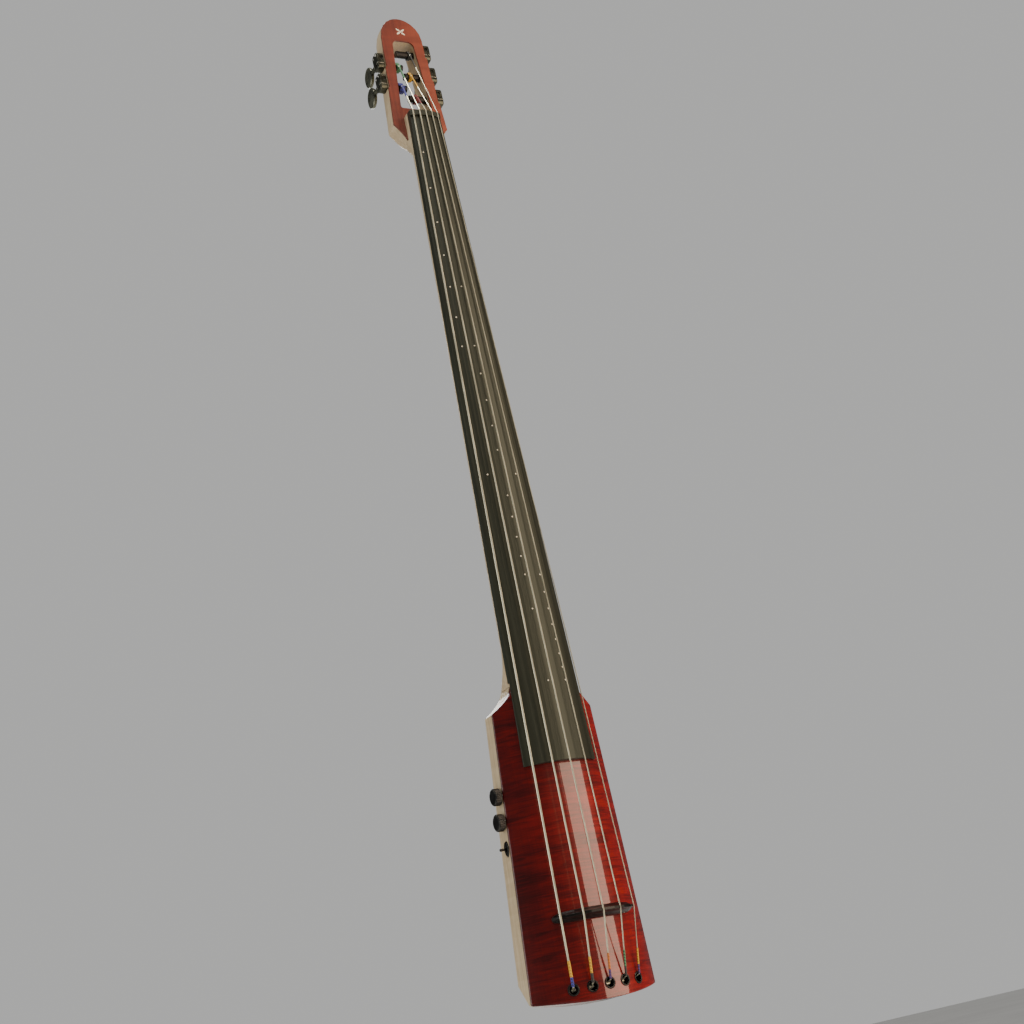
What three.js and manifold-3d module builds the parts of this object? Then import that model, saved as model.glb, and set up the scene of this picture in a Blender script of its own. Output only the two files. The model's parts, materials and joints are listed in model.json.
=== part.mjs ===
// A five-string electric upright bass: a slim solid body with an arched cap, a long bowed
// fingerboard and a slotted pegbox with worm-gear tuners.
//
// The pieces are drawn in the strings' own frame: X runs across the strings (bass side at -X),
// Y runs from the strings (-Y) to the back (+Y), and Z runs up the neck. Z = 0 is the front edge
// of the nut and Y = 0 is the crown of the fingerboard. The last lines move everything so that
// the origin is the middle of the stand plate's outer face.

import * as THREE from 'three';
import { mergeVertices } from 'three/addons/utils/BufferGeometryUtils.js';
import Module from 'manifold-3d';

const wasm = await Module();
wasm.setup();

// ---------------------------------------------------------------- driving dimensions, mm

const GAP = 0.3; // between two pieces that touch
const RUNNING_GAP = 0.4; // between a turning piece and its bearing
const PAST = 5; // how far a cutter runs past the surface it opens
const LAP = 1; // overlap of two shapes joined into one piece
const EDGE_DEPTH = 1.5; // straight edge left between a flat face and its chamfer

// strings
const SCALE = 1060; // nut to bridge
const STRING_RADII = [1.2, 1.05, 0.9, 0.76, 0.64];
const NUT_PITCH = 9.15;
const BRIDGE_PITCH = 23.5;
const NUT_ACTION = 0.9; // under a string, over the board
const BRIDGE_ACTION = 8;
const BRIDGE_STRING_ARCH = 86;
const GROOVE_REACH = 8; // a groove is open this far over its string

// fingerboard and nut
const BOARD_TO_BRIDGE = 171; // the board's lower end to the bridge
const BOARD_NUT_WIDTH = 44.7;
const BOARD_END_WIDTH = 93.7;
const BOARD_ARCH = 72;
const BOARD_NUT_DEPTH = 11; // crown to underside at the nut
const BOARD_DEPTH_GROWTH = 0.0128; // extra depth for each millimetre down the neck
const BOARD_OVERHANG_GAP = 1.5; // over the body's cap
const NUT_THICKNESS = 8;
const NUT_PROUD = 1.8;
const NUT_SEAT = 0.1; // its foot over the board's underside

// body, front outline
const BODY_LENGTH = 362;
const BRIDGE_TO_BOTTOM = 92;
const SHOULDER_DROP = 31; // neck joint to the shoulder's corner
const JOINT_WIDTH = 72; // where the neck meets the body, under the board
const SHOULDER_WIDTH = 132;
const SHOULDER_FLARE = 1.5;
const BOTTOM_WIDTH = 160;
const BOTTOM_BOW = 8;
const BOTTOM_CORNER = 3;
const CORNER_INSET = 2.4; // across, where the bow begins

// body, depth
const CAP_ARCH = 100;
const CAP_CROWN_Y = 8.5; // at the neck joint
const CAP_CROWN_FALL = 0.0112;
const GLUE_Y = 33.2; // plane between the cap and the core, at the neck joint
const GLUE_FALL = 0.0569;
const SHOULDER_SIDE_DEPTH = 18; // glue plane to the side's back edge
const BOTTOM_SIDE_DEPTH = 25;
const BACK_CHAMFER = 9;
const BACK_Y = 82;
const BACK_SQUARENESS = 3.2;
const BOTTOM_BEVEL = 25; // height of the undercut at the bottom end
const BOTTOM_EDGE = 4; // the core's depth at its lowest point
const LEAST_ROUNDING = 2; // from the side's edge to the back

// neck
const SCARF_Z = -70;
const NECK_BACK_NUT_Y = 33;
const NECK_BACK_HEEL_Y = 41;
const NECK_INSET = 0.8; // the neck is a little narrower than the board
const NECK_CHAMFER = 0.6;
const NECK_SQUARENESS = 2.1;
const HEEL_LENGTH = 46;
const HEEL_SWEEP = 2.2; // how late the heel deepens
const HEEL_SIDE_DEPTH = 24; // glue plane to the side's back edge at the neck joint
const HEEL_RISE = 16; // the back still to come there
const HEEL_SQUARENESS = 2.5;
const TENON_WIDTH = 40;
const TENON_DEPTH = 16;
const TENON_LENGTH = 55;
const TENON_INSET = 3; // below the glue plane
const ROD_RADIUS = 3;
const ROD_TOP_INSET = 14; // below the scarf
const ROD_BOTTOM_INSET = 26; // above the neck joint
const ROD_END_GAP = 2;

// pegbox
const HEAD_FACE_Y = 21;
const HEADPLATE_THICKNESS = 2.3;
const HEADPLATE_LIFT = 2; // its lower tips over the wings' start
const HEADPLATE_STEP = 1; // room under its lower tips
const HEAD_SIDE_Y = 38;
const HEAD_BACK_Y = 52;
const HEAD_LENGTH = 179;
const HEAD_LOW_WIDTH = 79;
const HEAD_HIGH_WIDTH = 61;
const HEAD_ARC = 34; // height of the rounded top
const HEAD_SQUARENESS = 3.6;
const HEAD_TOP_ROUNDING = 4; // the side's edge comes forward by this at the top
const VOLUTE_LOW_Z = -50; // where the pegbox has thinned to the neck
const VOLUTE_HIGH_Z = -14;
const WING_Z = -28;
const WING_CORNER_Z = -3;
const WING_FLARE = 1.5;
const SLOT_LOW_WIDTH = 47;
const SLOT_HIGH_WIDTH = 32;
const SLOT_BOTTOM_Z = 26;
const SLOT_TOP_Z = 141;
const SLOT_CORNER = 4;
const SLOT_TOP_CORNER = 9;
const SLOT_CORNER_DRAFT = 0.3;

// tuners
const POST_Y = 32;
const POST_RADIUS = 5;
const GEAR_RADIUS = 6;
const GEAR_TEETH = 16;
const GEAR_TOOTH = 1.4;
const GEAR_THICKNESS = 4.5;
const GEAR_X = 2; // from the cheek's seat
const STUB_RADIUS = 2.4; // the post's outer end
const STUB_PROUD = 0.6;
const WORM_RADIUS = 3;
const HOUSING_THICKNESS = 11;
const HOUSING_DEPTH = 16;
const HOUSING_ABOVE = 17.5; // over the post's axis
const HOUSING_BELOW = 8; // under the post's axis
const HOUSING_CORNER = 4;
const HOUSING_BEVEL = 1.2;
const WINDOW_MARGIN = 3;
const SEAT_DEPTH = 1.2; // flat cut in the sloping cheek
const SEAT_MARGIN = 1;
const KEY_STEM = 19;
const KEY_HEIGHT = 31;
const KEY_DEPTH = 25;
const KEY_THICKNESS = 4.4;
const KEY_BEVEL = 1;
const KEY_ROOT = 3; // the stem's length inside the key
const STEM_RADIUS = 2.4;
const COLLAR_RADIUS = 4;
const COLLAR_THICKNESS = 2.6;
const COIL_TURNS = 4;
const TUNERS = [
  { string: 1, side: -1, z: 67, coilX: -13, endX: -4 },
  { string: 2, side: -1, z: 102, coilX: -12, endX: -4 },
  { string: 3, side: 1, z: 51, coilX: 6, endX: -3 },
  { string: 4, side: 1, z: 88, coilX: 4, endX: -3 },
  { string: 5, side: 1, z: 125.5, coilX: 9, endX: -9 },
];

// bridge
const BRIDGE_HALF_LENGTH = 49;
const BRIDGE_BASE_THICKNESS = 13;
const BRIDGE_CREST_THICKNESS = 3;
const BRIDGE_POST_X = 33;
const BRIDGE_POST_RADIUS = 2.5;
const BRIDGE_POST_END_Y = 55;
const BRIDGE_POST_IN = 10; // its length inside the bridge
const BRIDGE_SEAT = 0.45; // under the foot, over the cap
const CREST_OVER_GROOVE = 1;
const PICKUP_X = 12;
const PICKUP_RADIUS = 4.5;
const PICKUP_THICKNESS = 1.2;
const PICKUP_SINK = 0.4; // its face over the foot

// tail anchors
const ANCHOR_PITCH = 20.65;
const ANCHOR_DROP = 76; // bridge to the anchors
const ANCHOR_RADIUS = 5.6;
const ANCHOR_RIM = 1; // its flange, all round
const ANCHOR_RIM_SEAT = 0.6; // recess for the flange
const ANCHOR_WALL = 1;
const ANCHOR_DEPTH = 15;
const ANCHOR_FLOOR = 3;
const BALL_DEPTH = 7; // the ball's centre under the mouth
const MOUTH_RISE = 1.8; // a string's underside over the mouth's upper edge
const BALL_RADIUS = 2.4;
const BALL_LENGTH = 5;

// controls
const KNOB_DROPS = [124, 153]; // below the neck joint
const SWITCH_DROP = 183;
const CONTROL_INSET = 6.3; // from the glue plane to a control's axis
const KNOB_RADIUS = 9.6;
const KNOB_HEIGHT = 8.6;
const KNOB_FLUTES = 24;
const FLUTE_DEPTH = 0.8;
const KNOB_BEVEL = 1;
const KNOB_STAND = 0.8; // between the body's side and the knob
const SHAFT_INTO_KNOB = 6;
const POT_RADIUS = 5.2;
const POT_LENGTH = 9;
const POT_BUSHING_RADIUS = 4.2;
const POT_SHAFT_RADIUS = 3;
const POT_FLOOR = 2; // behind the end of the shaft's bore
const SIDE_WALL = 10;
const BUSHING_IN = 4; // from the wall to what a bushing carries
const SWITCH_RIM_RADIUS = 8.5;
const SWITCH_RIM_SLIMNESS = 0.62; // its depth for its height
const SWITCH_RIM_SEAT = 2; // recess for the rim
const SWITCH_BARREL_RADIUS = 4;
const SWITCH_BOX_SIZE = 10;
const SWITCH_MOUTH_RADIUS = 2.8;
const SWITCH_PIVOT_DEPTH = 3;
const LEVER_SIZE = 1; // against the lever's drawn section
const JACK_DROP = 246;
const JACK_INSET = 11; // from the glue plane to the jack's axis
const JACK_RADIUS = 6;
const JACK_BORE = 3.3;
const JACK_LENGTH = 24;
const JACK_FLANGE = 3;
const JACK_FLANGE_PROUD = 1.4;
const JACK_FLANGE_SEAT = 1; // recess for the flange
const JACK_FLOOR = 3;

// control cavity and its cover
const CAVITY_TOP_DROP = 107;
const CAVITY_LENGTH = 104;
const CAVITY_OUTER_X = -52;
const CAVITY_WIDTH = 40;
const COVER_LIP = 7;
const COVER_THICKNESS = 2.5;
const COVER_CORNER = 6;
const COVER_SINK = 0.2; // its face under the back
const COVER_SCREW_RADIUS = 1;
const COVER_SCREW_LENGTH = 9;
const COVER_SINK_RADIUS = 2.4;
const COVER_SINK_DEPTH = 1.5;
const POCKET_INSET = 3.5; // beside the cavity, behind the side wall
const POCKET_FLOOR = 14; // from the back to the pocket

// what the cavity holds: [width, height, length, drop from the cavity's top]
const BATTERY = [17, 26, 47, 3];
const PREAMP = [25, 8, 38, 56];
const FLOOR_CLEARANCE = 0.5;
const SHELF_MARGIN = 2;

// stand plate
const PLATE_DROP = 62; // below the neck joint
const PLATE_SIZE = 60;
const PLATE_THICKNESS = 4;
const PLATE_PROUD = 1;
const PLATE_CORNER = 8;
const PLATE_SCREW_PITCH = 44;
const PLATE_SCREW_RADIUS = 1.8;
const PLATE_SCREW_LENGTH = 18;
const PLATE_SCREW_TOP = 1.5; // the screw's shank under the plate's face
const PLATE_SINK_RADIUS = 3.9;
const PLATE_SINK_DEPTH = 2.4;
const PLATE_HEAD_HEIGHT = 2;
const PLATE_HEAD_SINK = 0.2;

// places that follow from them
const BRIDGE_Z = -SCALE;
const BOARD_LENGTH = SCALE - BOARD_TO_BRIDGE;
const BOTTOM_Z = BRIDGE_Z - BRIDGE_TO_BOTTOM;
const JOINT_Z = BOTTOM_Z + BODY_LENGTH;
const SHOULDER_Z = JOINT_Z - SHOULDER_DROP;
const CORNER_Z = BOTTOM_Z + BOTTOM_BOW + BOTTOM_CORNER;
const ANCHOR_Z = BRIDGE_Z - ANCHOR_DROP;
const PLATE_Z = JOINT_Z - PLATE_DROP;
const PLATE_FACE_Y = BACK_Y + PLATE_PROUD;
const COVER_FACE_Y = BACK_Y - COVER_SINK;
const ANCHOR_RIM_RADIUS = ANCHOR_RADIUS + ANCHOR_RIM;
const ANCHOR_BORE = ANCHOR_RADIUS - ANCHOR_WALL;
const HEAD_WOOD_Y = HEAD_FACE_Y + HEADPLATE_THICKNESS + GAP;
const WORM_RISE = GEAR_RADIUS + WORM_RADIUS + RUNNING_GAP; // from the post's axis
const WORM_X = GEAR_X + GEAR_THICKNESS / 2;

// ---------------------------------------------------------------- materials

function material(color, roughness, metalness = 0) {
  return new THREE.MeshStandardMaterial({ color, roughness, metalness });
}

const maple = material(0xc9b68c, 0.45);
const redMaple = material(0x8e1414, 0.18);
const redFace = material(0x9c4a2c, 0.4);
const ebony = material(0x23221d, 0.42);
const blackMetal = material(0x161616, 0.35, 0.8);
const steel = material(0xb9b9b4, 0.28, 1);
const stringSteel = material(0xc8c8b8, 0.35, 1);
const blackPlastic = material(0x101010, 0.45);
const circuitGreen = material(0x1d5a35, 0.5);
const piezoBrass = material(0xb8923e, 0.35, 0.9);

// ---------------------------------------------------------------- solids

const { lerp, clamp, smoothstep } = THREE.MathUtils;

function solid(geometry) {
  const bare = geometry.clone();
  for (const name of Object.keys(bare.attributes)) {
    if (name !== 'position') bare.deleteAttribute(name);
  }
  const merged = mergeVertices(bare, 1e-4);
  const mesh = new wasm.Mesh({
    numProp: 3,
    vertProperties: new Float32Array(merged.attributes.position.array),
    triVerts: new Uint32Array(merged.index.array),
  });
  return new wasm.Manifold(mesh);
}

function geometryOf(body) {
  const mesh = body.getMesh();
  const geometry = new THREE.BufferGeometry();
  geometry.setAttribute('position', new THREE.BufferAttribute(mesh.vertProperties, 3));
  geometry.setIndex(new THREE.BufferAttribute(mesh.triVerts, 1));
  const flat = geometry.toNonIndexed();
  flat.computeVertexNormals();
  return flat;
}

function cut(geometry, ...tools) {
  let body = solid(geometry);
  for (const tool of tools) body = body.subtract(solid(tool));
  return geometryOf(body);
}

function join(geometry, ...others) {
  let body = solid(geometry);
  for (const other of others) body = body.add(solid(other));
  return geometryOf(body);
}

// A block from its two opposite corners.
function block(x0, x1, y0, y1, z0, z1) {
  const box = new THREE.BoxGeometry(x1 - x0, y1 - y0, z1 - z0);
  return box.translate((x0 + x1) / 2, (y0 + y1) / 2, (z0 + z1) / 2);
}

// A rod along X, Y or Z between two coordinates, around the given centre.
function rodX(radius, x0, x1, y, z, sides = 16) {
  const rod = new THREE.CylinderGeometry(radius, radius, Math.abs(x1 - x0), sides);
  return rod.rotateZ(Math.PI / 2).translate((x0 + x1) / 2, y, z);
}

function rodY(radius, y0, y1, x, z, sides = 16) {
  const rod = new THREE.CylinderGeometry(radius, radius, Math.abs(y1 - y0), sides);
  return rod.translate(x, (y0 + y1) / 2, z);
}

function rodZ(radius, z0, z1, x, y, sides = 16) {
  const rod = new THREE.CylinderGeometry(radius, radius, Math.abs(z1 - z0), sides);
  return rod.rotateX(Math.PI / 2).translate(x, y, (z0 + z1) / 2);
}

// A solid through closed rings of points. Each ring turns from +X to +Y, and the first is the
// highest in Z.
function loft(rings) {
  const sides = rings[0].length;
  const rows = rings.length - 1;
  const geometry = new THREE.CylinderGeometry(1, 1, 1, sides, rows);
  const centres = rings.map((ring) => {
    const sum = ring.reduce((total, point) => total.add(point), new THREE.Vector3());
    return sum.divideScalar(sides);
  });
  const position = geometry.attributes.position;
  for (let i = 0; i < position.count; i++) {
    const [x, y, z] = [position.getX(i), position.getY(i), position.getZ(i)];
    const row = Math.round((0.5 - y) * rows);
    const turn = Math.atan2(x, z) / (2 * Math.PI);
    const side = (Math.round(turn * sides) + sides) % sides;
    const place = Math.hypot(x, z) < 0.5 ? centres[row] : rings[row][side];
    position.setXYZ(i, place.x, place.y, place.z);
  }
  return geometry;
}

// A plan outline in X and Z made into a slab between two Y values.
function slabY(shape, y0, y1, bevel = 0) {
  const geometry = new THREE.ExtrudeGeometry(shape, {
    depth: y1 - y0 - 2 * bevel,
    bevelEnabled: bevel > 0,
    bevelSize: bevel,
    bevelThickness: bevel,
    bevelOffset: -bevel,
    bevelSegments: 1,
    curveSegments: 4,
  });
  return geometry.rotateX(Math.PI / 2).translate(0, y1 - bevel, 0);
}

function roundedRectangle(x0, x1, z0, z1, radius) {
  const shape = new THREE.Shape();
  shape.absarc(x1 - radius, z0 + radius, radius, -Math.PI / 2, 0);
  shape.absarc(x1 - radius, z1 - radius, radius, 0, Math.PI / 2);
  shape.absarc(x0 + radius, z1 - radius, radius, Math.PI / 2, Math.PI);
  shape.absarc(x0 + radius, z0 + radius, radius, Math.PI, 1.5 * Math.PI);
  shape.closePath();
  return shape;
}

// ---------------------------------------------------------------- shared curves

// How far a circular arch has dropped at x.
function arch(x, radius) {
  return radius - Math.sqrt(radius * radius - x * x);
}

function boardHalf(z) {
  return lerp(BOARD_NUT_WIDTH, BOARD_END_WIDTH, -z / BOARD_LENGTH) / 2;
}

function boardBase(z) {
  return BOARD_NUT_DEPTH - BOARD_DEPTH_GROWTH * z;
}

function capCrown(z) {
  return CAP_CROWN_Y + CAP_CROWN_FALL * (JOINT_Z - z);
}

function gluePlane(z) {
  return GLUE_Y + GLUE_FALL * (JOINT_Z - z);
}

// Half the body's width: the shoulders flare, the sides taper and the bottom is bowed.
function bodyHalf(z) {
  if (z > SHOULDER_Z) {
    const down = (JOINT_Z - z) / SHOULDER_DROP;
    return lerp(JOINT_WIDTH, SHOULDER_WIDTH, down ** SHOULDER_FLARE) / 2;
  }
  const fallen = (SHOULDER_Z - z) / (SHOULDER_Z - CORNER_Z);
  if (z >= CORNER_Z) return lerp(SHOULDER_WIDTH, BOTTOM_WIDTH, fallen) / 2;
  const bowHalf = BOTTOM_WIDTH / 2 - CORNER_INSET;
  const above = z - BOTTOM_Z;
  if (above > BOTTOM_BOW) {
    const into = (CORNER_Z - z) / BOTTOM_CORNER;
    return bowHalf + CORNER_INSET * Math.sqrt(1 - into * into);
  }
  const bowRadius = (bowHalf * bowHalf + BOTTOM_BOW * BOTTOM_BOW) / (2 * BOTTOM_BOW);
  return Math.sqrt(2 * bowRadius * above - above * above);
}

// Half the head's width: wings flare from the board, the cheeks taper and the top is rounded.
function headHalf(z) {
  const low = HEAD_LOW_WIDTH / 2;
  const high = HEAD_HIGH_WIDTH / 2;
  const arcZ = HEAD_LENGTH - HEAD_ARC;
  if (z < WING_Z) return boardHalf(z);
  if (z < WING_CORNER_Z) {
    const up = (z - WING_Z) / (WING_CORNER_Z - WING_Z);
    return lerp(boardHalf(WING_Z), low, up ** WING_FLARE);
  }
  if (z < arcZ) return lerp(low, high, (z - WING_CORNER_Z) / (arcZ - WING_CORNER_Z));
  const into = (z - arcZ) / HEAD_ARC;
  return high * Math.sqrt(Math.max(0, 1 - into * into));
}

// One section of the wood: a flat front, straight sides, a chamfer and a rounded back.
function woodRing(z, half, front, side, back, squareness, chamfer) {
  const ring = [];
  const frontSteps = 4;
  const backSteps = 16;
  const inset = Math.min(chamfer, 0.6 * (back - side));
  for (let i = 0; i < frontSteps; i++) {
    ring.push(new THREE.Vector3(lerp(-half, half, i / frontSteps), front, z));
  }
  ring.push(new THREE.Vector3(half, front, z));
  ring.push(new THREE.Vector3(half, side, z));
  for (let i = 0; i <= backSteps; i++) {
    const turn = (i / backSteps) * Math.PI;
    const across = Math.sign(Math.cos(turn)) * Math.abs(Math.cos(turn)) ** (2 / squareness);
    const behind = Math.abs(Math.sin(turn)) ** (2 / squareness);
    const y = lerp(side + inset, back, behind);
    ring.push(new THREE.Vector3((half - inset) * across, y, z));
  }
  ring.push(new THREE.Vector3(-half, side, z));
  return ring;
}

// ---------------------------------------------------------------- the object

const bass = new THREE.Group();

function add(name, geometry, surface, parent = bass) {
  const mesh = new THREE.Mesh(geometry, surface);
  mesh.name = name;
  parent.add(mesh);
  return mesh;
}

// ---- strings: where each one runs

const stringNumbers = [1, 2, 3, 4, 5];

function acrossFrom(string, pitch) {
  return (string - 3) * pitch;
}

function nutPoint(string, z) {
  const x = acrossFrom(string, NUT_PITCH);
  const lift = NUT_ACTION + STRING_RADII[string - 1];
  return new THREE.Vector3(x, arch(x, BOARD_ARCH) - lift, z);
}

function bridgePoint(string, z) {
  const x = acrossFrom(string, BRIDGE_PITCH);
  return new THREE.Vector3(x, arch(x, BRIDGE_STRING_ARCH) - BRIDGE_ACTION, z);
}

function anchorPlace(string) {
  const x = acrossFrom(string, ANCHOR_PITCH);
  return new THREE.Vector3(x, capCrown(ANCHOR_Z) + arch(x, CAP_ARCH), ANCHOR_Z);
}

function anchorTilt(string) {
  return Math.asin(acrossFrom(string, ANCHOR_PITCH) / CAP_ARCH);
}

// A point measured from an anchor's mouth: down into its bore, and up towards the bridge.
function inAnchor(string, depth, up) {
  const tilt = anchorTilt(string);
  const inward = new THREE.Vector3(-Math.sin(tilt), Math.cos(tilt), 0);
  return anchorPlace(string).addScaledVector(inward, depth).setZ(ANCHOR_Z + up);
}

function coilRadius(string) {
  return POST_RADIUS + GAP + 2 * STRING_RADII[string - 1];
}

// The string runs from the nut to the front of its post and stops short of the wound coil.
function headEnd(string) {
  const tuner = TUNERS.find((entry) => entry.string === string);
  const radius = STRING_RADII[string - 1];
  const nut = nutPoint(string, NUT_THICKNESS);
  const wrap = POST_RADIUS + GAP + radius;
  const toPost = new THREE.Vector2(tuner.z - nut.z, POST_Y - nut.y);
  const run = Math.sqrt(toPost.lengthSq() - wrap * wrap);
  const lean = Math.atan2(toPost.y, toPost.x) - Math.atan2(wrap, run);
  const clear = Math.sqrt((coilRadius(string) + GAP) ** 2 - (wrap - radius) ** 2);
  const along = (run - clear) / run;
  const touch = new THREE.Vector2(Math.cos(lean), Math.sin(lean)).multiplyScalar(run * along);
  return new THREE.Vector3(lerp(nut.x, tuner.coilX, along), nut.y + touch.y, nut.z + touch.x);
}

// A path through given points, whose sections sit at the points themselves.
class CordPath extends THREE.Curve {
  constructor(points) {
    super();
    this.points = points;
  }

  getPoint(t, target = new THREE.Vector3()) {
    const place = clamp(t, 0, 1) * (this.points.length - 1);
    const i = Math.min(Math.floor(place), this.points.length - 2);
    return target.lerpVectors(this.points[i], this.points[i + 1], place - i);
  }

  getPointAt(u, target) {
    return this.getPoint(u, target);
  }

  getTangentAt(u, target = new THREE.Vector3()) {
    const last = this.points.length - 1;
    const i = Math.round(u * last);
    const before = this.points[Math.max(i - 1, 0)].clone();
    const here = this.points[i];
    const after = this.points[Math.min(i + 1, last)].clone();
    const into = i > 0 ? here.clone().sub(before).normalize() : new THREE.Vector3();
    const out = i < last ? after.sub(here).normalize() : new THREE.Vector3();
    return target.copy(into).add(out).normalize();
  }
}

function tube(points, radius, sides) {
  const section = new THREE.Shape();
  for (let i = 0; i < sides; i++) {
    const turn = (i / sides) * 2 * Math.PI;
    const [x, y] = [radius * Math.cos(turn), radius * Math.sin(turn)];
    if (i === 0) section.moveTo(x, y);
    else section.lineTo(x, y);
  }
  section.closePath();
  const extrudePath = new CordPath(points);
  return new THREE.ExtrudeGeometry(section, { steps: points.length - 1, extrudePath });
}

function stringPoints(string) {
  const radius = STRING_RADII[string - 1];
  const halfCrest = BRIDGE_CREST_THICKNESS / 2;
  return [
    headEnd(string),
    nutPoint(string, NUT_THICKNESS),
    nutPoint(string, 0),
    bridgePoint(string, BRIDGE_Z + halfCrest),
    bridgePoint(string, BRIDGE_Z - halfCrest),
    inAnchor(string, -radius - MOUTH_RISE, ANCHOR_BORE - radius - RUNNING_GAP),
    inAnchor(string, BALL_DEPTH, 0),
  ];
}

function addStrings() {
  for (const string of stringNumbers) {
    const radius = STRING_RADII[string - 1];
    const ballAt = inAnchor(string, BALL_DEPTH, 0);
    const half = BALL_LENGTH / 2;
    const ball = rodX(BALL_RADIUS, -half, half, 0, 0, 10);
    ball.rotateZ(anchorTilt(string)).translate(ballAt.x, ballAt.y, ballAt.z);
    const cord = tube(stringPoints(string), radius, 8);
    add(`string_${string}`, join(cord, ball), stringSteel);
  }
}

// Grooves for the strings where they cross a piece, with the touching gap all round.
function stringGrooves(pointAt, z0, z1) {
  return stringNumbers.map((string) => {
    const at = pointAt(string, 0);
    const width = STRING_RADII[string - 1] + GAP;
    return join(
      rodZ(width, z0, z1, at.x, at.y, 10),
      block(at.x - width, at.x + width, at.y - GROOVE_REACH, at.y, z0, z1),
    );
  });
}

// ---- fingerboard

function boardRing(z) {
  const steps = 16;
  const half = boardHalf(z);
  const ring = [];
  for (let i = 0; i <= steps; i++) {
    const x = lerp(-half, half, i / steps);
    ring.push(new THREE.Vector3(x, arch(x, BOARD_ARCH), z));
  }
  ring.push(new THREE.Vector3(half, boardBase(z), z));
  ring.push(new THREE.Vector3(-half, boardBase(z), z));
  return ring;
}

// A round bar that follows the cap's arched front, grown or shrunk by `more`.
function capBar(more, z0, z1) {
  const top = new THREE.Vector3(0, capCrown(z1) + CAP_ARCH, z1);
  const bottom = new THREE.Vector3(0, capCrown(z0) + CAP_ARCH, z0);
  const sides = 72;
  const bar = [top, bottom].map((centre) => {
    const ring = [];
    for (let i = 0; i < sides; i++) {
      const turn = (i / sides) * 2 * Math.PI;
      const radius = CAP_ARCH + more;
      ring.push(new THREE.Vector3(
        radius * Math.cos(turn),
        centre.y + radius * Math.sin(turn),
        centre.z,
      ));
    }
    return ring;
  });
  return loft(bar);
}

function addFingerboard() {
  const blank = loft([boardRing(-GAP), boardRing(JOINT_Z), boardRing(-BOARD_LENGTH)]);
  const relief = capBar(BOARD_OVERHANG_GAP, -BOARD_LENGTH - PAST, JOINT_Z + GAP);
  add('fingerboard', cut(blank, relief), ebony);
}

function addNut() {
  const half = BOARD_NUT_WIDTH / 2;
  const base = boardBase(NUT_THICKNESS) - NUT_SEAT;
  const profile = new THREE.Shape();
  profile.moveTo(-half, base);
  profile.lineTo(half, base);
  const steps = 12;
  for (let i = 0; i <= steps; i++) {
    const x = lerp(half, -half, i / steps);
    profile.lineTo(x, arch(x, BOARD_ARCH) - NUT_PROUD);
  }
  const bar = new THREE.ExtrudeGeometry(profile, { depth: NUT_THICKNESS, bevelEnabled: false });
  add('nut', cut(bar, ...stringGrooves(nutPoint, -PAST, NUT_THICKNESS + PAST)), ebony);
}

// ---- neck

function neckRing(z) {
  const front = boardBase(z) + GAP;
  const heelTop = JOINT_Z + HEEL_LENGTH;
  const down = clamp((heelTop - z) / HEEL_LENGTH, 0, 1) ** HEEL_SWEEP;
  const half = lerp(boardHalf(z) - NECK_INSET, bodyHalf(JOINT_Z), down);
  const slim = lerp(NECK_BACK_NUT_Y, NECK_BACK_HEEL_Y, (SCARF_Z - z) / (SCARF_Z - heelTop));
  const side = lerp(front + EDGE_DEPTH, gluePlane(JOINT_Z) + HEEL_SIDE_DEPTH, down);
  const back = lerp(Math.min(slim, NECK_BACK_HEEL_Y), BACK_Y - HEEL_RISE, down);
  const squareness = lerp(NECK_SQUARENESS, HEEL_SQUARENESS, down);
  return woodRing(z, half, front, side, back, squareness, NECK_CHAMFER);
}

const ROD_Y = boardBase(JOINT_Z) + ROD_RADIUS + GAP;
const ROD_TOP_Z = SCARF_Z - ROD_TOP_INSET;
const ROD_BOTTOM_Z = JOINT_Z + ROD_BOTTOM_INSET;

function rodChannel() {
  const width = ROD_RADIUS + GAP;
  const z0 = ROD_BOTTOM_Z - ROD_END_GAP;
  return block(-width, width, 0, ROD_Y + width, z0, ROD_TOP_Z + ROD_END_GAP);
}

function tenon(grow, overlap) {
  const half = TENON_WIDTH / 2 + grow;
  const y0 = gluePlane(JOINT_Z - TENON_LENGTH) + TENON_INSET - grow;
  const y1 = y0 + TENON_DEPTH + 2 * grow;
  return block(-half, half, y0, y1, JOINT_Z - TENON_LENGTH - grow, JOINT_Z + overlap);
}

function addNeck() {
  const heelTop = JOINT_Z + HEEL_LENGTH;
  const stations = [SCARF_Z, lerp(SCARF_Z, heelTop, 0.5), heelTop];
  for (const down of [0.3, 0.5, 0.65, 0.8, 0.9]) {
    stations.push(lerp(heelTop, JOINT_Z, down));
  }
  stations.push(JOINT_Z + GAP);
  const shaft = join(loft(stations.map(neckRing)), tenon(0, PAST));
  add('neck', cut(shaft, rodChannel()), maple);

  add('truss_rod', rodZ(ROD_RADIUS, ROD_BOTTOM_Z, ROD_TOP_Z, 0, ROD_Y, 10), steel);
}

// ---- pegbox

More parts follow.
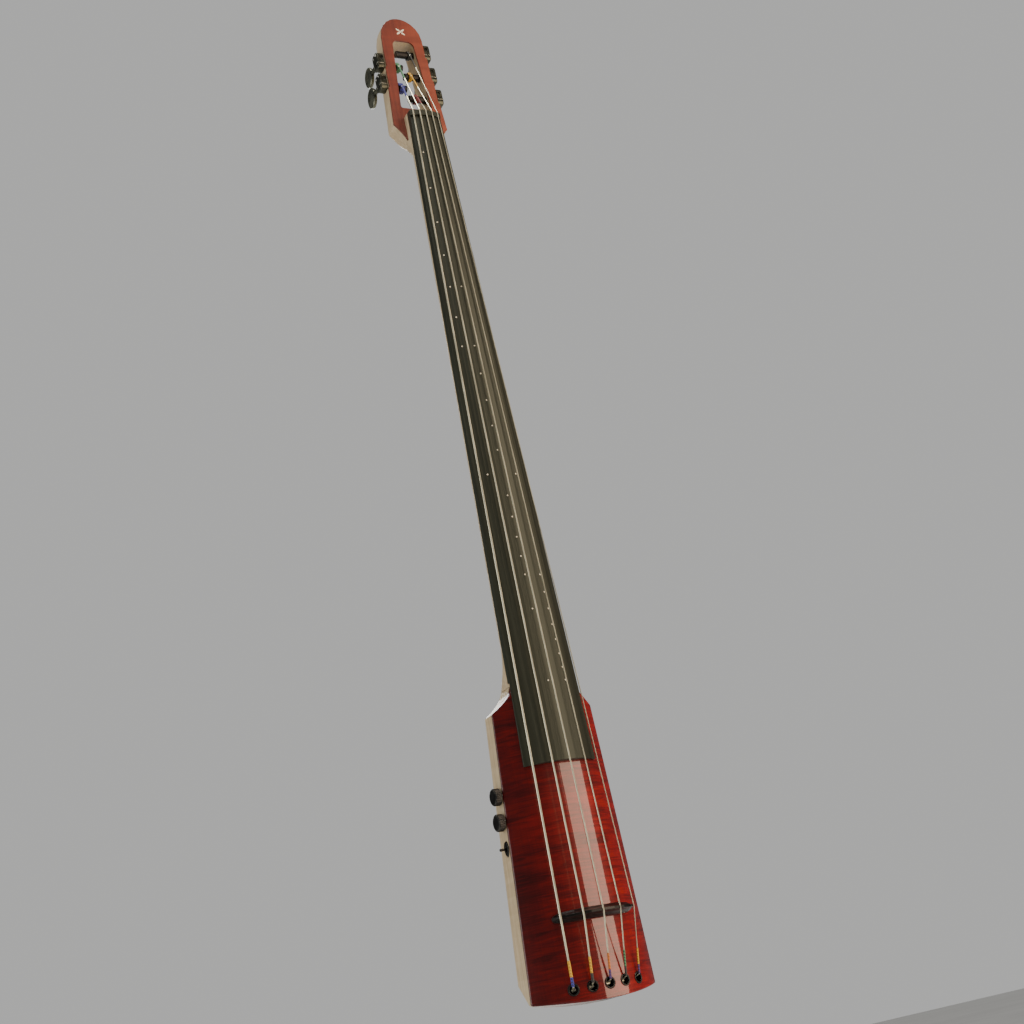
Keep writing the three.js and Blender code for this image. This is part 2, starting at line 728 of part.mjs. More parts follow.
function slotShape() {
  const low = SLOT_LOW_WIDTH / 2;
  const high = SLOT_HIGH_WIDTH / 2;
  const arcZ = SLOT_TOP_Z - SLOT_TOP_CORNER;
  const arcX = high - SLOT_TOP_CORNER;
  const shape = new THREE.Shape();
  shape.moveTo(-low + SLOT_CORNER, SLOT_BOTTOM_Z);
  shape.lineTo(low - SLOT_CORNER, SLOT_BOTTOM_Z);
  shape.quadraticCurveTo(low, SLOT_BOTTOM_Z, low - SLOT_CORNER_DRAFT, SLOT_BOTTOM_Z + SLOT_CORNER);
  shape.lineTo(high, arcZ);
  shape.absarc(arcX, arcZ, SLOT_TOP_CORNER, 0, Math.PI / 2);
  shape.absarc(-arcX, arcZ, SLOT_TOP_CORNER, Math.PI / 2, Math.PI);
  shape.lineTo(-low + SLOT_CORNER_DRAFT, SLOT_BOTTOM_Z + SLOT_CORNER);
  shape.quadraticCurveTo(-low, SLOT_BOTTOM_Z, -low + SLOT_CORNER, SLOT_BOTTOM_Z);
  return shape;
}

const headStations = [
  ...[0.9995, 0.98, 0.92, 0.8, 0.6, 0.35, 0].map(
    (part) => HEAD_LENGTH - HEAD_ARC * (1 - part),
  ),
  lerp(WING_CORNER_Z, HEAD_LENGTH - HEAD_ARC, 0.5),
  WING_CORNER_Z,
  ...[0.75, 0.5, 0.25].map((part) => lerp(WING_Z, WING_CORNER_Z, part)),
];

function pegboxRing(z) {
  const front = boardBase(Math.min(z, 0)) + GAP;
  const spread = smoothstep(z, VOLUTE_LOW_Z, VOLUTE_HIGH_Z);
  const top = smoothstep(z, HEAD_LENGTH - HEAD_ARC, HEAD_LENGTH);
  const side = lerp(lerp(front + EDGE_DEPTH, HEAD_SIDE_Y, spread), HEAD_SIDE_Y - HEAD_TOP_ROUNDING, top);
  const back = lerp(lerp(NECK_BACK_NUT_Y, HEAD_BACK_Y, spread), HEAD_SIDE_Y, top);
  const half = headHalf(z) - NECK_INSET * (1 - spread);
  const squareness = lerp(NECK_SQUARENESS, HEAD_SQUARENESS, spread);
  return woodRing(z, half, front, side, back, squareness, NECK_CHAMFER);
}

// The flat seat that a tuner's housing sits on.
function seatX(tuner) {
  return tuner.side * (headHalf(tuner.z) - SEAT_DEPTH);
}

function seatCut(tuner) {
  const inner = seatX(tuner);
  const outer = inner + tuner.side * HOUSING_THICKNESS;
  const [x0, x1] = [Math.min(inner, outer), Math.max(inner, outer)];
  const z0 = tuner.z - HOUSING_BELOW - SEAT_MARGIN;
  const z1 = tuner.z + HOUSING_ABOVE + SEAT_MARGIN;
  return block(x0, x1, 0, HEAD_BACK_Y + PAST, z0, z1);
}

function postBore(tuner) {
  const outer = tuner.side * HEAD_LOW_WIDTH;
  return rodX(POST_RADIUS + RUNNING_GAP, 0, outer, POST_Y, tuner.z, 20);
}

function addPegbox() {
  const volute = [0.5, 0].map((part) => lerp(VOLUTE_LOW_Z, VOLUTE_HIGH_Z, part));
  const blank = loft([...headStations, WING_Z, ...volute, SCARF_Z + GAP].map(pegboxRing));
  const width = HEAD_LOW_WIDTH;
  const beside = BOARD_NUT_WIDTH / 2 + GAP;
  const tipZ = WING_Z + HEADPLATE_LIFT;
  const stepZ = tipZ - HEADPLATE_STEP;
  const cuts = [
    block(-width, width, 0, HEAD_WOOD_Y, NUT_THICKNESS + GAP, HEAD_LENGTH + PAST),
    block(beside, width, 0, HEAD_WOOD_Y, stepZ, HEAD_LENGTH + PAST),
    block(-width, -beside, 0, HEAD_WOOD_Y, stepZ, HEAD_LENGTH + PAST),
    slabY(slotShape(), 0, HEAD_BACK_Y + PAST),
    ...TUNERS.map(seatCut),
    ...TUNERS.map(postBore),
  ];
  add('pegbox', cut(blank, ...cuts), maple);

  const outline = new THREE.Shape();
  const stations = headStations.slice(1);
  stations.forEach((z) => outline.lineTo(headHalf(z), z));
  outline.lineTo(headHalf(tipZ), tipZ);
  outline.lineTo(-headHalf(tipZ), tipZ);
  [...stations].reverse().forEach((z) => outline.lineTo(-headHalf(z), z));
  outline.lineTo(0, HEAD_LENGTH);
  outline.curves.shift();
  const plate = cut(
    slabY(outline, HEAD_FACE_Y, HEAD_FACE_Y + HEADPLATE_THICKNESS),
    slabY(slotShape(), 0, HEAD_BACK_Y),
    block(-beside, beside, 0, HEAD_BACK_Y, WING_Z - PAST, NUT_THICKNESS + GAP),
    ...TUNERS.map(seatCut),
  );
  add('headplate', plate, redFace);
}

// ---- tuners

function gearShape() {
  const shape = new THREE.Shape();
  for (let i = 0; i < 2 * GEAR_TEETH; i++) {
    const turn = (i / (2 * GEAR_TEETH)) * 2 * Math.PI;
    const radius = i % 2 ? GEAR_RADIUS - GEAR_TOOTH : GEAR_RADIUS;
    const [x, y] = [radius * Math.cos(turn), radius * Math.sin(turn)];
    if (i === 0) shape.moveTo(x, y);
    else shape.lineTo(x, y);
  }
  shape.closePath();
  return shape;
}

// The group of one tuner: its origin is on the cheek's seat at the post's axis, and +X is out.
function tunerGroup(tuner) {
  const group = new THREE.Group();
  group.position.set(seatX(tuner), POST_Y, tuner.z);
  if (tuner.side < 0) group.rotation.z = Math.PI;
  bass.add(group);
  return group;
}

function housingGeometry() {
  const half = HOUSING_DEPTH / 2;
  const face = roundedRectangle(-half, half, -HOUSING_BELOW, HOUSING_ABOVE, HOUSING_CORNER);
  const bevel = HOUSING_BEVEL;
  const box = new THREE.ExtrudeGeometry(face, {
    depth: HOUSING_THICKNESS - GAP - 2 * bevel,
    bevelSize: bevel,
    bevelThickness: bevel,
    bevelOffset: -bevel,
    bevelSegments: 1,
    curveSegments: 2,
  });
  box.rotateX(Math.PI / 2).rotateZ(Math.PI / 2);
  box.computeBoundingBox();
  const { min } = box.boundingBox;
  box.translate(GAP - min.x, 0, 0);
  const pocketEnd = GEAR_X + GEAR_THICKNESS + RUNNING_GAP;
  const wormBore = WORM_RADIUS + RUNNING_GAP;
  const windowHalf = STUB_RADIUS + RUNNING_GAP;
  const windowReach = half - WINDOW_MARGIN;
  return cut(
    box,
    rodX(GEAR_RADIUS + 2 * RUNNING_GAP, -PAST, pocketEnd, 0, 0, 16),
    block(GEAR_X, HOUSING_THICKNESS + PAST, -windowReach, windowReach, -windowHalf, windowHalf),
    rodY(wormBore, -half - PAST, half + PAST, WORM_X, WORM_RISE, 12),
  );
}

function postGeometry(tuner) {
  const reach = Math.abs(seatX(tuner) - tuner.endX);
  const gear = new THREE.ExtrudeGeometry(gearShape(), {
    depth: GEAR_THICKNESS,
    bevelEnabled: false,
  });
  gear.rotateY(Math.PI / 2).translate(GEAR_X, 0, 0);
  const stubX = GEAR_X + GEAR_THICKNESS - LAP;
  return join(
    rodX(POST_RADIUS, -reach, GEAR_X + LAP, 0, 0, 16),
    gear,
    rodX(STUB_RADIUS, stubX, HOUSING_THICKNESS + STUB_PROUD, 0, 0, 10),
  );
}

function coilGeometry(string) {
  const radius = STRING_RADII[string - 1];
  const inner = POST_RADIUS + GAP;
  const length = 2 * radius * COIL_TURNS;
  const profile = [new THREE.Vector2(inner, 0)];
  for (let turn = 0; turn < COIL_TURNS; turn++) {
    for (const [along, out] of [[0.15, 0.7], [0.5, 1], [0.85, 0.7]]) {
      const height = (turn + along) * 2 * radius;
      profile.push(new THREE.Vector2(inner + out * 2 * radius, height));
    }
  }
  profile.push(new THREE.Vector2(inner, length), new THREE.Vector2(inner, 0));
  const coil = new THREE.LatheGeometry(profile, 14);
  return coil.rotateZ(Math.PI / 2).translate(length / 2, 0, 0);
}

// The worm shaft runs front to back; the oval key stands behind the head on its stem.
function keyGeometry() {
  const half = HOUSING_DEPTH / 2;
  const behind = half + KEY_STEM;
  const oval = new THREE.Shape();
  const acrossHalf = KEY_DEPTH / 2 - KEY_BEVEL;
  oval.absellipse(0, 0, acrossHalf, KEY_HEIGHT / 2 - KEY_BEVEL, 0, 2 * Math.PI);
  const flat = KEY_THICKNESS - 2 * KEY_BEVEL;
  const paddle = new THREE.ExtrudeGeometry(oval, {
    depth: flat,
    bevelSize: KEY_BEVEL,
    bevelThickness: KEY_BEVEL,
    bevelSegments: 1,
    curveSegments: 10,
  });
  paddle.translate(0, 0, -flat / 2).rotateX(Math.PI / 2).rotateZ(Math.PI / 2);
  paddle.translate(0, behind + acrossHalf, 0);
  const collarY = half + RUNNING_GAP;
  return join(
    rodY(WORM_RADIUS, -half + LAP, half + LAP, 0, 0, 10),
    rodY(COLLAR_RADIUS, collarY, collarY + COLLAR_THICKNESS, 0, 0, 12),
    rodY(STEM_RADIUS, half, behind + KEY_ROOT, 0, 0, 10),
    paddle,
  );
}

function addTuners() {
  for (const tuner of TUNERS) {
    const group = tunerGroup(tuner);
    const number = tuner.string;
    add(`tuner_housing_${number}`, housingGeometry(), blackMetal, group);
    add(`string_post_${number}`, postGeometry(tuner), blackMetal, group);

    const coil = add(`string_coil_${number}`, coilGeometry(number), stringSteel, group);
    coil.position.x = tuner.side * (tuner.coilX - seatX(tuner));

    const key = add(`tuner_key_${number}`, keyGeometry(), blackMetal);
    const keyX = seatX(tuner) + tuner.side * WORM_X;
    key.position.set(keyX, POST_Y, tuner.z + WORM_RISE);
  }
}

// ---- body

const cornerStations = [1, 0.65, 0.3, 0].map((up) => BOTTOM_Z + BOTTOM_BOW + BOTTOM_CORNER * up);
const bowStations = [0.6, 0.25, 0.08, 0.025].map((up) => BOTTOM_Z + BOTTOM_BOW * up);
const bodyStations = [
  ...[0, 0.3, 0.55, 0.78, 1].map((down) => JOINT_Z - SHOULDER_DROP * down),
  lerp(SHOULDER_Z, CORNER_Z, 0.5),
  BOTTOM_Z + BOTTOM_BOW + BOTTOM_BEVEL,
  ...cornerStations,
  ...bowStations,
];

function coreRing(z) {
  const front = gluePlane(z) + GAP / 2;
  const above = z - BOTTOM_Z;
  const down = smoothstep(-z, -JOINT_Z, -SHOULDER_Z);
  const taper = clamp((SHOULDER_Z - z) / (SHOULDER_Z - CORNER_Z), 0, 1);
  const lowDepth = lerp(SHOULDER_SIDE_DEPTH, BOTTOM_SIDE_DEPTH, taper);
  const depth = lerp(HEEL_SIDE_DEPTH, lowDepth, down);
  const bevel = clamp((above - BOTTOM_BOW) / BOTTOM_BEVEL, 0, 1);
  const slope = BOTTOM_SIDE_DEPTH / BOTTOM_BEVEL;
  const deepest = lerp(BACK_Y - HEEL_RISE, BACK_Y, down);
  const back = Math.min(deepest, front + BOTTOM_EDGE + slope * above);
  const side = Math.min(front + lerp(EDGE_DEPTH, depth, bevel), back - LEAST_ROUNDING);
  const squareness = lerp(HEEL_SQUARENESS, BACK_SQUARENESS, down);
  const chamfer = lerp(NECK_CHAMFER, BACK_CHAMFER, down);
  return woodRing(z, bodyHalf(z), front, side, back, squareness, chamfer);
}

function capRing(z) {
  const half = bodyHalf(z);
  const steps = 18;
  const ring = [];
  for (let i = 0; i <= steps; i++) {
    const x = lerp(-half, half, i / steps);
    ring.push(new THREE.Vector3(x, capCrown(z) + arch(x, CAP_ARCH), z));
  }
  const flat = gluePlane(z) - GAP / 2;
  for (const part of [1, 0.5, 0, -0.5, -1]) {
    ring.push(new THREE.Vector3(half * part, flat, z));
  }
  return ring;
}

function controlPlace(drop) {
  const z = JOINT_Z - drop;
  return new THREE.Vector3(-bodyHalf(z), gluePlane(z) + CONTROL_INSET, z);
}

const controlDrops = [...KNOB_DROPS, SWITCH_DROP];

function cavityCut() {
  const z1 = JOINT_Z - CAVITY_TOP_DROP;
  const z0 = z1 - CAVITY_LENGTH;
  const profile = (back) => {
    const shape = new THREE.Shape();
    shape.moveTo(gluePlane(z1) - PAST, z1);
    shape.lineTo(gluePlane(z0) - PAST, z0);
    shape.lineTo(back, z0);
    shape.lineTo(back, z1);
    return shape;
  };
  const room = (x0, x1, back) => {
    const depth = x1 - x0;
    const box = new THREE.ExtrudeGeometry(profile(back), { depth, bevelEnabled: false });
    const turn = new THREE.Matrix4().set(0, 0, 1, x0, 1, 0, 0, 0, 0, 1, 0, 0, 0, 0, 0, 1);
    return box.applyMatrix4(turn);
  };
  const innerX = CAVITY_OUTER_X + CAVITY_WIDTH;
  const pocketX = -bodyHalf(z0) + SIDE_WALL + POCKET_INSET;
  const pocket = room(pocketX, CAVITY_OUTER_X + LAP, BACK_Y - POCKET_FLOOR);
  return join(room(CAVITY_OUTER_X, innerX, BACK_Y + PAST), pocket);
}

function coverShape(grow) {
  const z1 = JOINT_Z - CAVITY_TOP_DROP + COVER_LIP + grow;
  const z0 = z1 - CAVITY_LENGTH - 2 * COVER_LIP - 2 * grow;
  const x0 = CAVITY_OUTER_X - COVER_LIP / 2 - grow;
  const x1 = CAVITY_OUTER_X + CAVITY_WIDTH + COVER_LIP + grow;
  return roundedRectangle(x0, x1, z0, z1, COVER_CORNER);
}

function plateShape(grow) {
  const half = PLATE_SIZE / 2 + grow;
  return roundedRectangle(-half, half, PLATE_Z - half, PLATE_Z + half, PLATE_CORNER);
}

function anchorTool(string, radius, depth) {
  const bore = rodY(radius, -PAST, depth, 0, 0, 16);
  const at = anchorPlace(string);
  return bore.rotateZ(anchorTilt(string)).translate(at.x, at.y, at.z);
}

function bridgePostBores() {
  const width = BRIDGE_POST_RADIUS + GAP;
  return [-1, 1].map((side) => rodY(width, 0, BRIDGE_POST_END_Y + LAP, side * BRIDGE_POST_X, BRIDGE_Z, 12));
}

function addBody() {
  const anchorBores = stringNumbers.map(
    (string) => anchorTool(string, ANCHOR_RADIUS + GAP, ANCHOR_DEPTH + GAP),
  );
  const rimSeats = stringNumbers.map(
    (string) => anchorTool(string, ANCHOR_RIM_RADIUS + GAP, ANCHOR_RIM_SEAT),
  );
  const controls = controlDrops.map(controlPlace);
  const controlBores = controls.map((at, i) => {
    const radius = i < KNOB_DROPS.length ? POT_BUSHING_RADIUS : SWITCH_BARREL_RADIUS;
    const inner = at.x + SIDE_WALL + BUSHING_IN + PAST;
    return rodX(radius + GAP, at.x - PAST, inner, at.y, at.z, 16);
  });
  const switchAt = controls[controls.length - 1];
  const rimX = switchAt.x + SWITCH_RIM_SEAT;
  const rim = rodX(SWITCH_RIM_RADIUS + 2 * GAP, switchAt.x - PAST, rimX, 0, 0, 24);
  rim.scale(1, SWITCH_RIM_SLIMNESS, 1).translate(0, switchAt.y, switchAt.z);
  const blank = loft(bodyStations.map(capRing));
  const cap = cut(blank, ...anchorBores, ...rimSeats, ...bridgePostBores());
  add('body_cap', cap, redMaple);

  const jack = jackPlace();
  const flangeWidth = JACK_RADIUS + JACK_FLANGE + GAP;
  const core = cut(
    loft(bodyStations.map(coreRing)),
    ...anchorBores,
    ...bridgePostBores(),
    ...controlBores,
    rim,
    tenon(GAP, PAST),
    cavityCut(),
    slabY(coverShape(GAP), COVER_FACE_Y - COVER_THICKNESS - GAP, BACK_Y + PAST),
    slabY(plateShape(GAP), PLATE_FACE_Y - PLATE_THICKNESS - GAP, BACK_Y + PAST),
    rodX(JACK_RADIUS + GAP, jack.x - JACK_LENGTH - GAP, jack.x + PAST, jack.y, jack.z, 20),
    rodX(flangeWidth, jack.x - JACK_FLANGE_SEAT, jack.x + PAST, jack.y, jack.z, 24),
    ...coverScrewRods(GAP, 0),
    ...plateScrewRods(GAP, LAP),
  );
  add('body_core', core, maple);
}

// ---- stand plate, cavity cover and what is behind it

// Rods for the screws, made wider and longer by the given amounts.
function coverScrewRods(wider, longer) {
  const radius = COVER_SCREW_RADIUS + wider;
  const length = COVER_SCREW_LENGTH + longer;
  const z1 = JOINT_Z - CAVITY_TOP_DROP + COVER_LIP / 2;
  const z0 = z1 - CAVITY_LENGTH - COVER_LIP;
  const xs = [CAVITY_OUTER_X + COVER_CORNER, CAVITY_OUTER_X + CAVITY_WIDTH + COVER_LIP / 2];
  const top = COVER_FACE_Y - COVER_SCREW_RADIUS;
  return xs.flatMap((x) => [z0, z1].map((z) => rodY(radius, top - length, top, x, z, 10)));
}

function plateScrewRods(wider, longer) {
  const radius = PLATE_SCREW_RADIUS + wider;
  const length = PLATE_SCREW_LENGTH + longer;
  const half = PLATE_SCREW_PITCH / 2;
  const top = PLATE_FACE_Y - PLATE_SCREW_TOP;
  return [-half, half].flatMap(
    (x) => [-half, half].map((z) => rodY(radius, top - length, top, x, PLATE_Z + z, 10)),
  );
}

const COUNTERSINK_SLOPE = 0.8;

// A countersunk head for each rod, standing at the rod's place.
function countersinks(rods, headRadius, height, face) {
  const tip = headRadius - height * COUNTERSINK_SLOPE;
  return rods.map((rod) => {
    rod.computeBoundingBox();
    const centre = rod.boundingBox.getCenter(new THREE.Vector3());
    const head = new THREE.CylinderGeometry(headRadius, tip, height, 14);
    return head.translate(centre.x, face - height / 2, centre.z);
  });
}

function addBackFittings() {
  const coverBase = COVER_FACE_Y - COVER_THICKNESS;
  const coverHoles = coverScrewRods(GAP, 0);
  const coverWidth = COVER_SINK_RADIUS + GAP;
  const coverSinks = countersinks(coverHoles, coverWidth, COVER_SINK_DEPTH, COVER_FACE_Y + 0.01);
  const cover = cut(slabY(coverShape(0), coverBase, COVER_FACE_Y), ...coverHoles, ...coverSinks);
  add('cavity_cover', cover, blackPlastic);

  const plateBase = PLATE_FACE_Y - PLATE_THICKNESS;
  const plateHoles = plateScrewRods(GAP, 0);
  const plateWidth = PLATE_SINK_RADIUS + GAP;
  const plateSinks = countersinks(plateHoles, plateWidth, PLATE_SINK_DEPTH, PLATE_FACE_Y + 0.01);
  const plate = cut(slabY(plateShape(0), plateBase, PLATE_FACE_Y), ...plateHoles, ...plateSinks);
  add('stand_plate', plate, blackMetal);

  const screwRods = plateScrewRods(0, 0);
  const headFace = PLATE_FACE_Y - PLATE_HEAD_SINK;
  const screwHeads = countersinks(screwRods, PLATE_SINK_RADIUS, PLATE_HEAD_HEIGHT, headFace);
  screwRods.forEach((rod, i) => {
    add(`stand_plate_screw_${i + 1}`, join(rod, screwHeads[i]), steel);
  });
}

// ---- controls

function fluteShape(radius) {
  const shape = new THREE.Shape();
  for (let i = 0; i < 2 * KNOB_FLUTES; i++) {
    const turn = (i / (2 * KNOB_FLUTES)) * 2 * Math.PI;
    const reach = i % 2 ? radius - FLUTE_DEPTH : radius;
    const [x, y] = [reach * Math.cos(turn), reach * Math.sin(turn)];
    if (i === 0) shape.moveTo(x, y);
    else shape.lineTo(x, y);
  }
  shape.closePath();
  return shape;
}

function addKnob(number, at) {
  const grip = new THREE.ExtrudeGeometry(fluteShape(KNOB_RADIUS - KNOB_BEVEL), {
    depth: KNOB_HEIGHT - 2 * KNOB_BEVEL,
    bevelSize: KNOB_BEVEL,
    bevelThickness: KNOB_BEVEL,
    bevelSegments: 1,
  });
  grip.translate(0, 0, KNOB_BEVEL).rotateY(-Math.PI / 2);
  const socket = rodX(POT_SHAFT_RADIUS + GAP, PAST, -SHAFT_INTO_KNOB - GAP, 0, 0, 14);
  const knob = add(`knob_${number}`, cut(grip, socket), blackMetal);
  knob.position.set(at.x - KNOB_STAND, at.y, at.z);

  const potX = at.x + SIDE_WALL + BUSHING_IN;
  const floorX = potX + POT_LENGTH - POT_FLOOR;
  const bushing = rodX(POT_BUSHING_RADIUS, at.x + 1, potX + LAP, at.y, at.z, 16);
  const can = rodX(POT_RADIUS, potX, potX + POT_LENGTH, at.y, at.z, 18);
  const bore = rodX(POT_SHAFT_RADIUS + RUNNING_GAP, at.x, floorX, at.y, at.z, 14);
  add(`potentiometer_${number}`, cut(join(bushing, can), bore), steel);

  const inner = floorX - RUNNING_GAP;
  const outer = at.x - KNOB_STAND - SHAFT_INTO_KNOB;
  add(`pot_shaft_${number}`, rodX(POT_SHAFT_RADIUS, outer, inner, at.y, at.z, 12), steel);
}

function addSwitch(at) {
  const pivotX = at.x + SWITCH_PIVOT_DEPTH;
  const [wide, edge] = [SWITCH_RIM_RADIUS, SWITCH_RIM_RADIUS - 1];
  const rim = new THREE.LatheGeometry(
    [[0, 0], [wide, 0], [wide, 2.2], [edge, 3], [0, 3]].map(
      ([radius, height]) => new THREE.Vector2(radius, height),
    ),
    24,
  );
  rim.rotateZ(Math.PI / 2).scale(1, SWITCH_RIM_SLIMNESS, 1);
  rim.translate(at.x + SWITCH_RIM_SEAT - GAP, at.y, at.z);
  const boxX = at.x + SIDE_WALL + BUSHING_IN;
  const half = SWITCH_BOX_SIZE / 2;
  const body = join(
    rim,
    rodX(SWITCH_BARREL_RADIUS, at.x + 1, boxX + LAP, at.y, at.z, 16),
    block(boxX, boxX + SWITCH_BOX_SIZE, at.y - half, at.y + half, at.z - half, at.z + half),
  );
  const mouth = rodX(SWITCH_MOUTH_RADIUS, at.x - PAST, 2 * pivotX - at.x, at.y, at.z, 16);
  add('toggle_switch', cut(body, mouth), blackMetal);

  const lever = new THREE.LatheGeometry(
    [[0, -1.8], [1.5, -1], [1.8, 0], [1.1, 1.5], [1.2, 5], [1.9, 11], [1.5, 12], [0, 12.4]].map(
      ([radius, height]) => new THREE.Vector2(radius * LEVER_SIZE, height * LEVER_SIZE),
    ),
    12,
  );
  lever.rotateZ(Math.PI / 2);
  const stick = add('toggle_lever', lever, blackMetal);
  stick.position.set(pivotX, at.y, at.z);
}

function jackPlace() {
  const z = JOINT_Z - JACK_DROP;
  return new THREE.Vector3(bodyHalf(z), gluePlane(z) + JACK_INSET, z);
}

function addJack() {
  const at = jackPlace();
  const [inside, outside] = [at.x - JACK_FLANGE_SEAT + GAP, at.x + JACK_FLANGE_PROUD];
  const flange = rodX(JACK_RADIUS + JACK_FLANGE, inside, outside, at.y, at.z, 24);
  const barrel = rodX(JACK_RADIUS, at.x - JACK_LENGTH, at.x, at.y, at.z, 18);
  const floorX = at.x - JACK_LENGTH + JACK_FLOOR;
  const socket = rodX(JACK_BORE, floorX, at.x + PAST, at.y, at.z, 14);
  add('output_jack', cut(join(flange, barrel), socket), blackMetal);
}

function addElectronics() {
  const controls = controlDrops.map(controlPlace);
  KNOB_DROPS.forEach((drop, i) => addKnob(i + 1, controls[i]));
  addSwitch(controls[controls.length - 1]);
  addJack();

  const inner = CAVITY_OUTER_X + CAVITY_WIDTH;
  const cavityTop = JOINT_Z - CAVITY_TOP_DROP;
  const lean = Math.atan(GLUE_FALL);
  const onFloor = (name, [width, height, length, drop], surface) => {
    const piece = add(name, new THREE.BoxGeometry(width, height, length), surface);
    const z = cavityTop - drop - length / 2;
    piece.rotation.x = lean;
    const y = gluePlane(z) + FLOOR_CLEARANCE + height / 2;
    piece.position.set(inner - SHELF_MARGIN - width / 2, y, z);
  };
  onFloor('battery', BATTERY, blackPlastic);
  onFloor('preamp_board', PREAMP, circuitGreen);
}

// ---- bridge and tail anchors

function bridgeBase(x) {
  return capCrown(BRIDGE_Z) + arch(x, CAP_ARCH) - BRIDGE_SEAT;
}

function bridgeCrest(x) {
  const thickest = STRING_RADII[0];
  return arch(x, BRIDGE_STRING_ARCH) - BRIDGE_ACTION - thickest + CREST_OVER_GROOVE;
}

// One section across the bridge: a rounded foot that narrows to the crest.
function bridgeRing(part) {
  const x = part * BRIDGE_HALF_LENGTH;
  const full = Math.sqrt(Math.max(0, 1 - Math.abs(part) ** 8));
  const base = bridgeBase(x);
  const crest = lerp(base - 9, bridgeCrest(x), 0.45 + 0.55 * full);
  const foot = (BRIDGE_BASE_THICKNESS / 2) * (0.3 + 0.7 * full);
  const top = (BRIDGE_CREST_THICKNESS / 2) * (0.5 + 0.5 * full);
  const heights = [0, 0.25, 0.45, 0.7, 1];
  const widths = [0.8, 1, 0.86, 0.35, 0].map((share) => lerp(top, foot, share));
  const ring = [];
  heights.forEach((height, i) => {
    ring.push(new THREE.Vector3(x, lerp(base, crest, height), BRIDGE_Z + widths[i]));
  });
  [...heights].reverse().forEach((height, i) => {
    const width = widths[widths.length - 1 - i];
    ring.push(new THREE.Vector3(x, lerp(base, crest, height), BRIDGE_Z - width));
  });
  return ring;
}

function pickupTool(side, grow) {
  const x = side * PICKUP_X;
  const face = bridgeBase(x);
  const radius = PICKUP_RADIUS + grow;
  const open = grow > 0 ? PAST : -PICKUP_SINK;
  return rodY(radius, face - PICKUP_THICKNESS - grow, face + open, x, BRIDGE_Z, 16);
}

function addBridge() {
  const parts = [1, 0.96, 0.85, 0.6, 0.3, 0, -0.3, -0.6, -0.85, -0.96, -1];
  const blank = loft(parts.map(bridgeRing));
  const beyond = BRIDGE_BASE_THICKNESS;
  const grooves = stringGrooves(bridgePoint, BRIDGE_Z - beyond, BRIDGE_Z + beyond);
  const sides = [['bass', -1], ['treble', 1]];
  const postTop = bridgeBase(BRIDGE_POST_X) - BRIDGE_POST_IN;
  const boreEnd = bridgeBase(BRIDGE_HALF_LENGTH);
  const bores = sides.map(([, side]) => {
    const x = side * BRIDGE_POST_X;
    return rodY(BRIDGE_POST_RADIUS + GAP, postTop, boreEnd, x, BRIDGE_Z, 12);
  });
  const pockets = sides.map(([, side]) => pickupTool(side, GAP));
  add('bridge', cut(blank, ...grooves, ...bores, ...pockets), ebony);

  for (const [name, side] of sides) {
    const x = side * BRIDGE_POST_X;
    const post = rodY(BRIDGE_POST_RADIUS, postTop + GAP, BRIDGE_POST_END_Y, x, BRIDGE_Z, 12);
    add(`bridge_post_${name}`, post, steel);
    add(`pickup_${name}`, pickupTool(side, 0), piezoBrass);
  }
}

function anchorGeometry() {
  const floor = ANCHOR_DEPTH - ANCHOR_FLOOR;
  const profile = [
    [0, floor],
    [ANCHOR_BORE, floor],
    [ANCHOR_BORE, 0.2],
    [ANCHOR_BORE + 0.6, -0.9],
    [ANCHOR_RIM_RADIUS - 0.3, -0.9],
    [ANCHOR_RIM_RADIUS, -0.3],
    [ANCHOR_RIM_RADIUS, 0.3],
    [ANCHOR_RADIUS, 0.3],
    [ANCHOR_RADIUS, ANCHOR_DEPTH],
    [0, ANCHOR_DEPTH],
  ].map(([radius, depth]) => new THREE.Vector2(radius, depth));
  return new THREE.LatheGeometry(profile, 16);
}

function addAnchors() {
  for (const string of stringNumbers) {
    const anchor = add(`string_anchor_${string}`, anchorGeometry(), blackMetal);
    anchor.position.copy(anchorPlace(string));
    anchor.rotation.z = anchorTilt(string);
  }
}

addBody();
addBackFittings();
addNeck();
addFingerboard();
addNut();
addPegbox();
addTuners();
addStrings();
addBridge();
addAnchors();
addElectronics();

bass.position.set(0, -PLATE_FACE_Y, -PLATE_Z);

const object = new THREE.Group();
object.add(bass);
export default object;
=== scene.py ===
"""A five-string electric upright bass: finishes, fine pieces, lights and camera on its frame."""

import json
import math

import bmesh
import bpy
from mathutils import Matrix, Vector


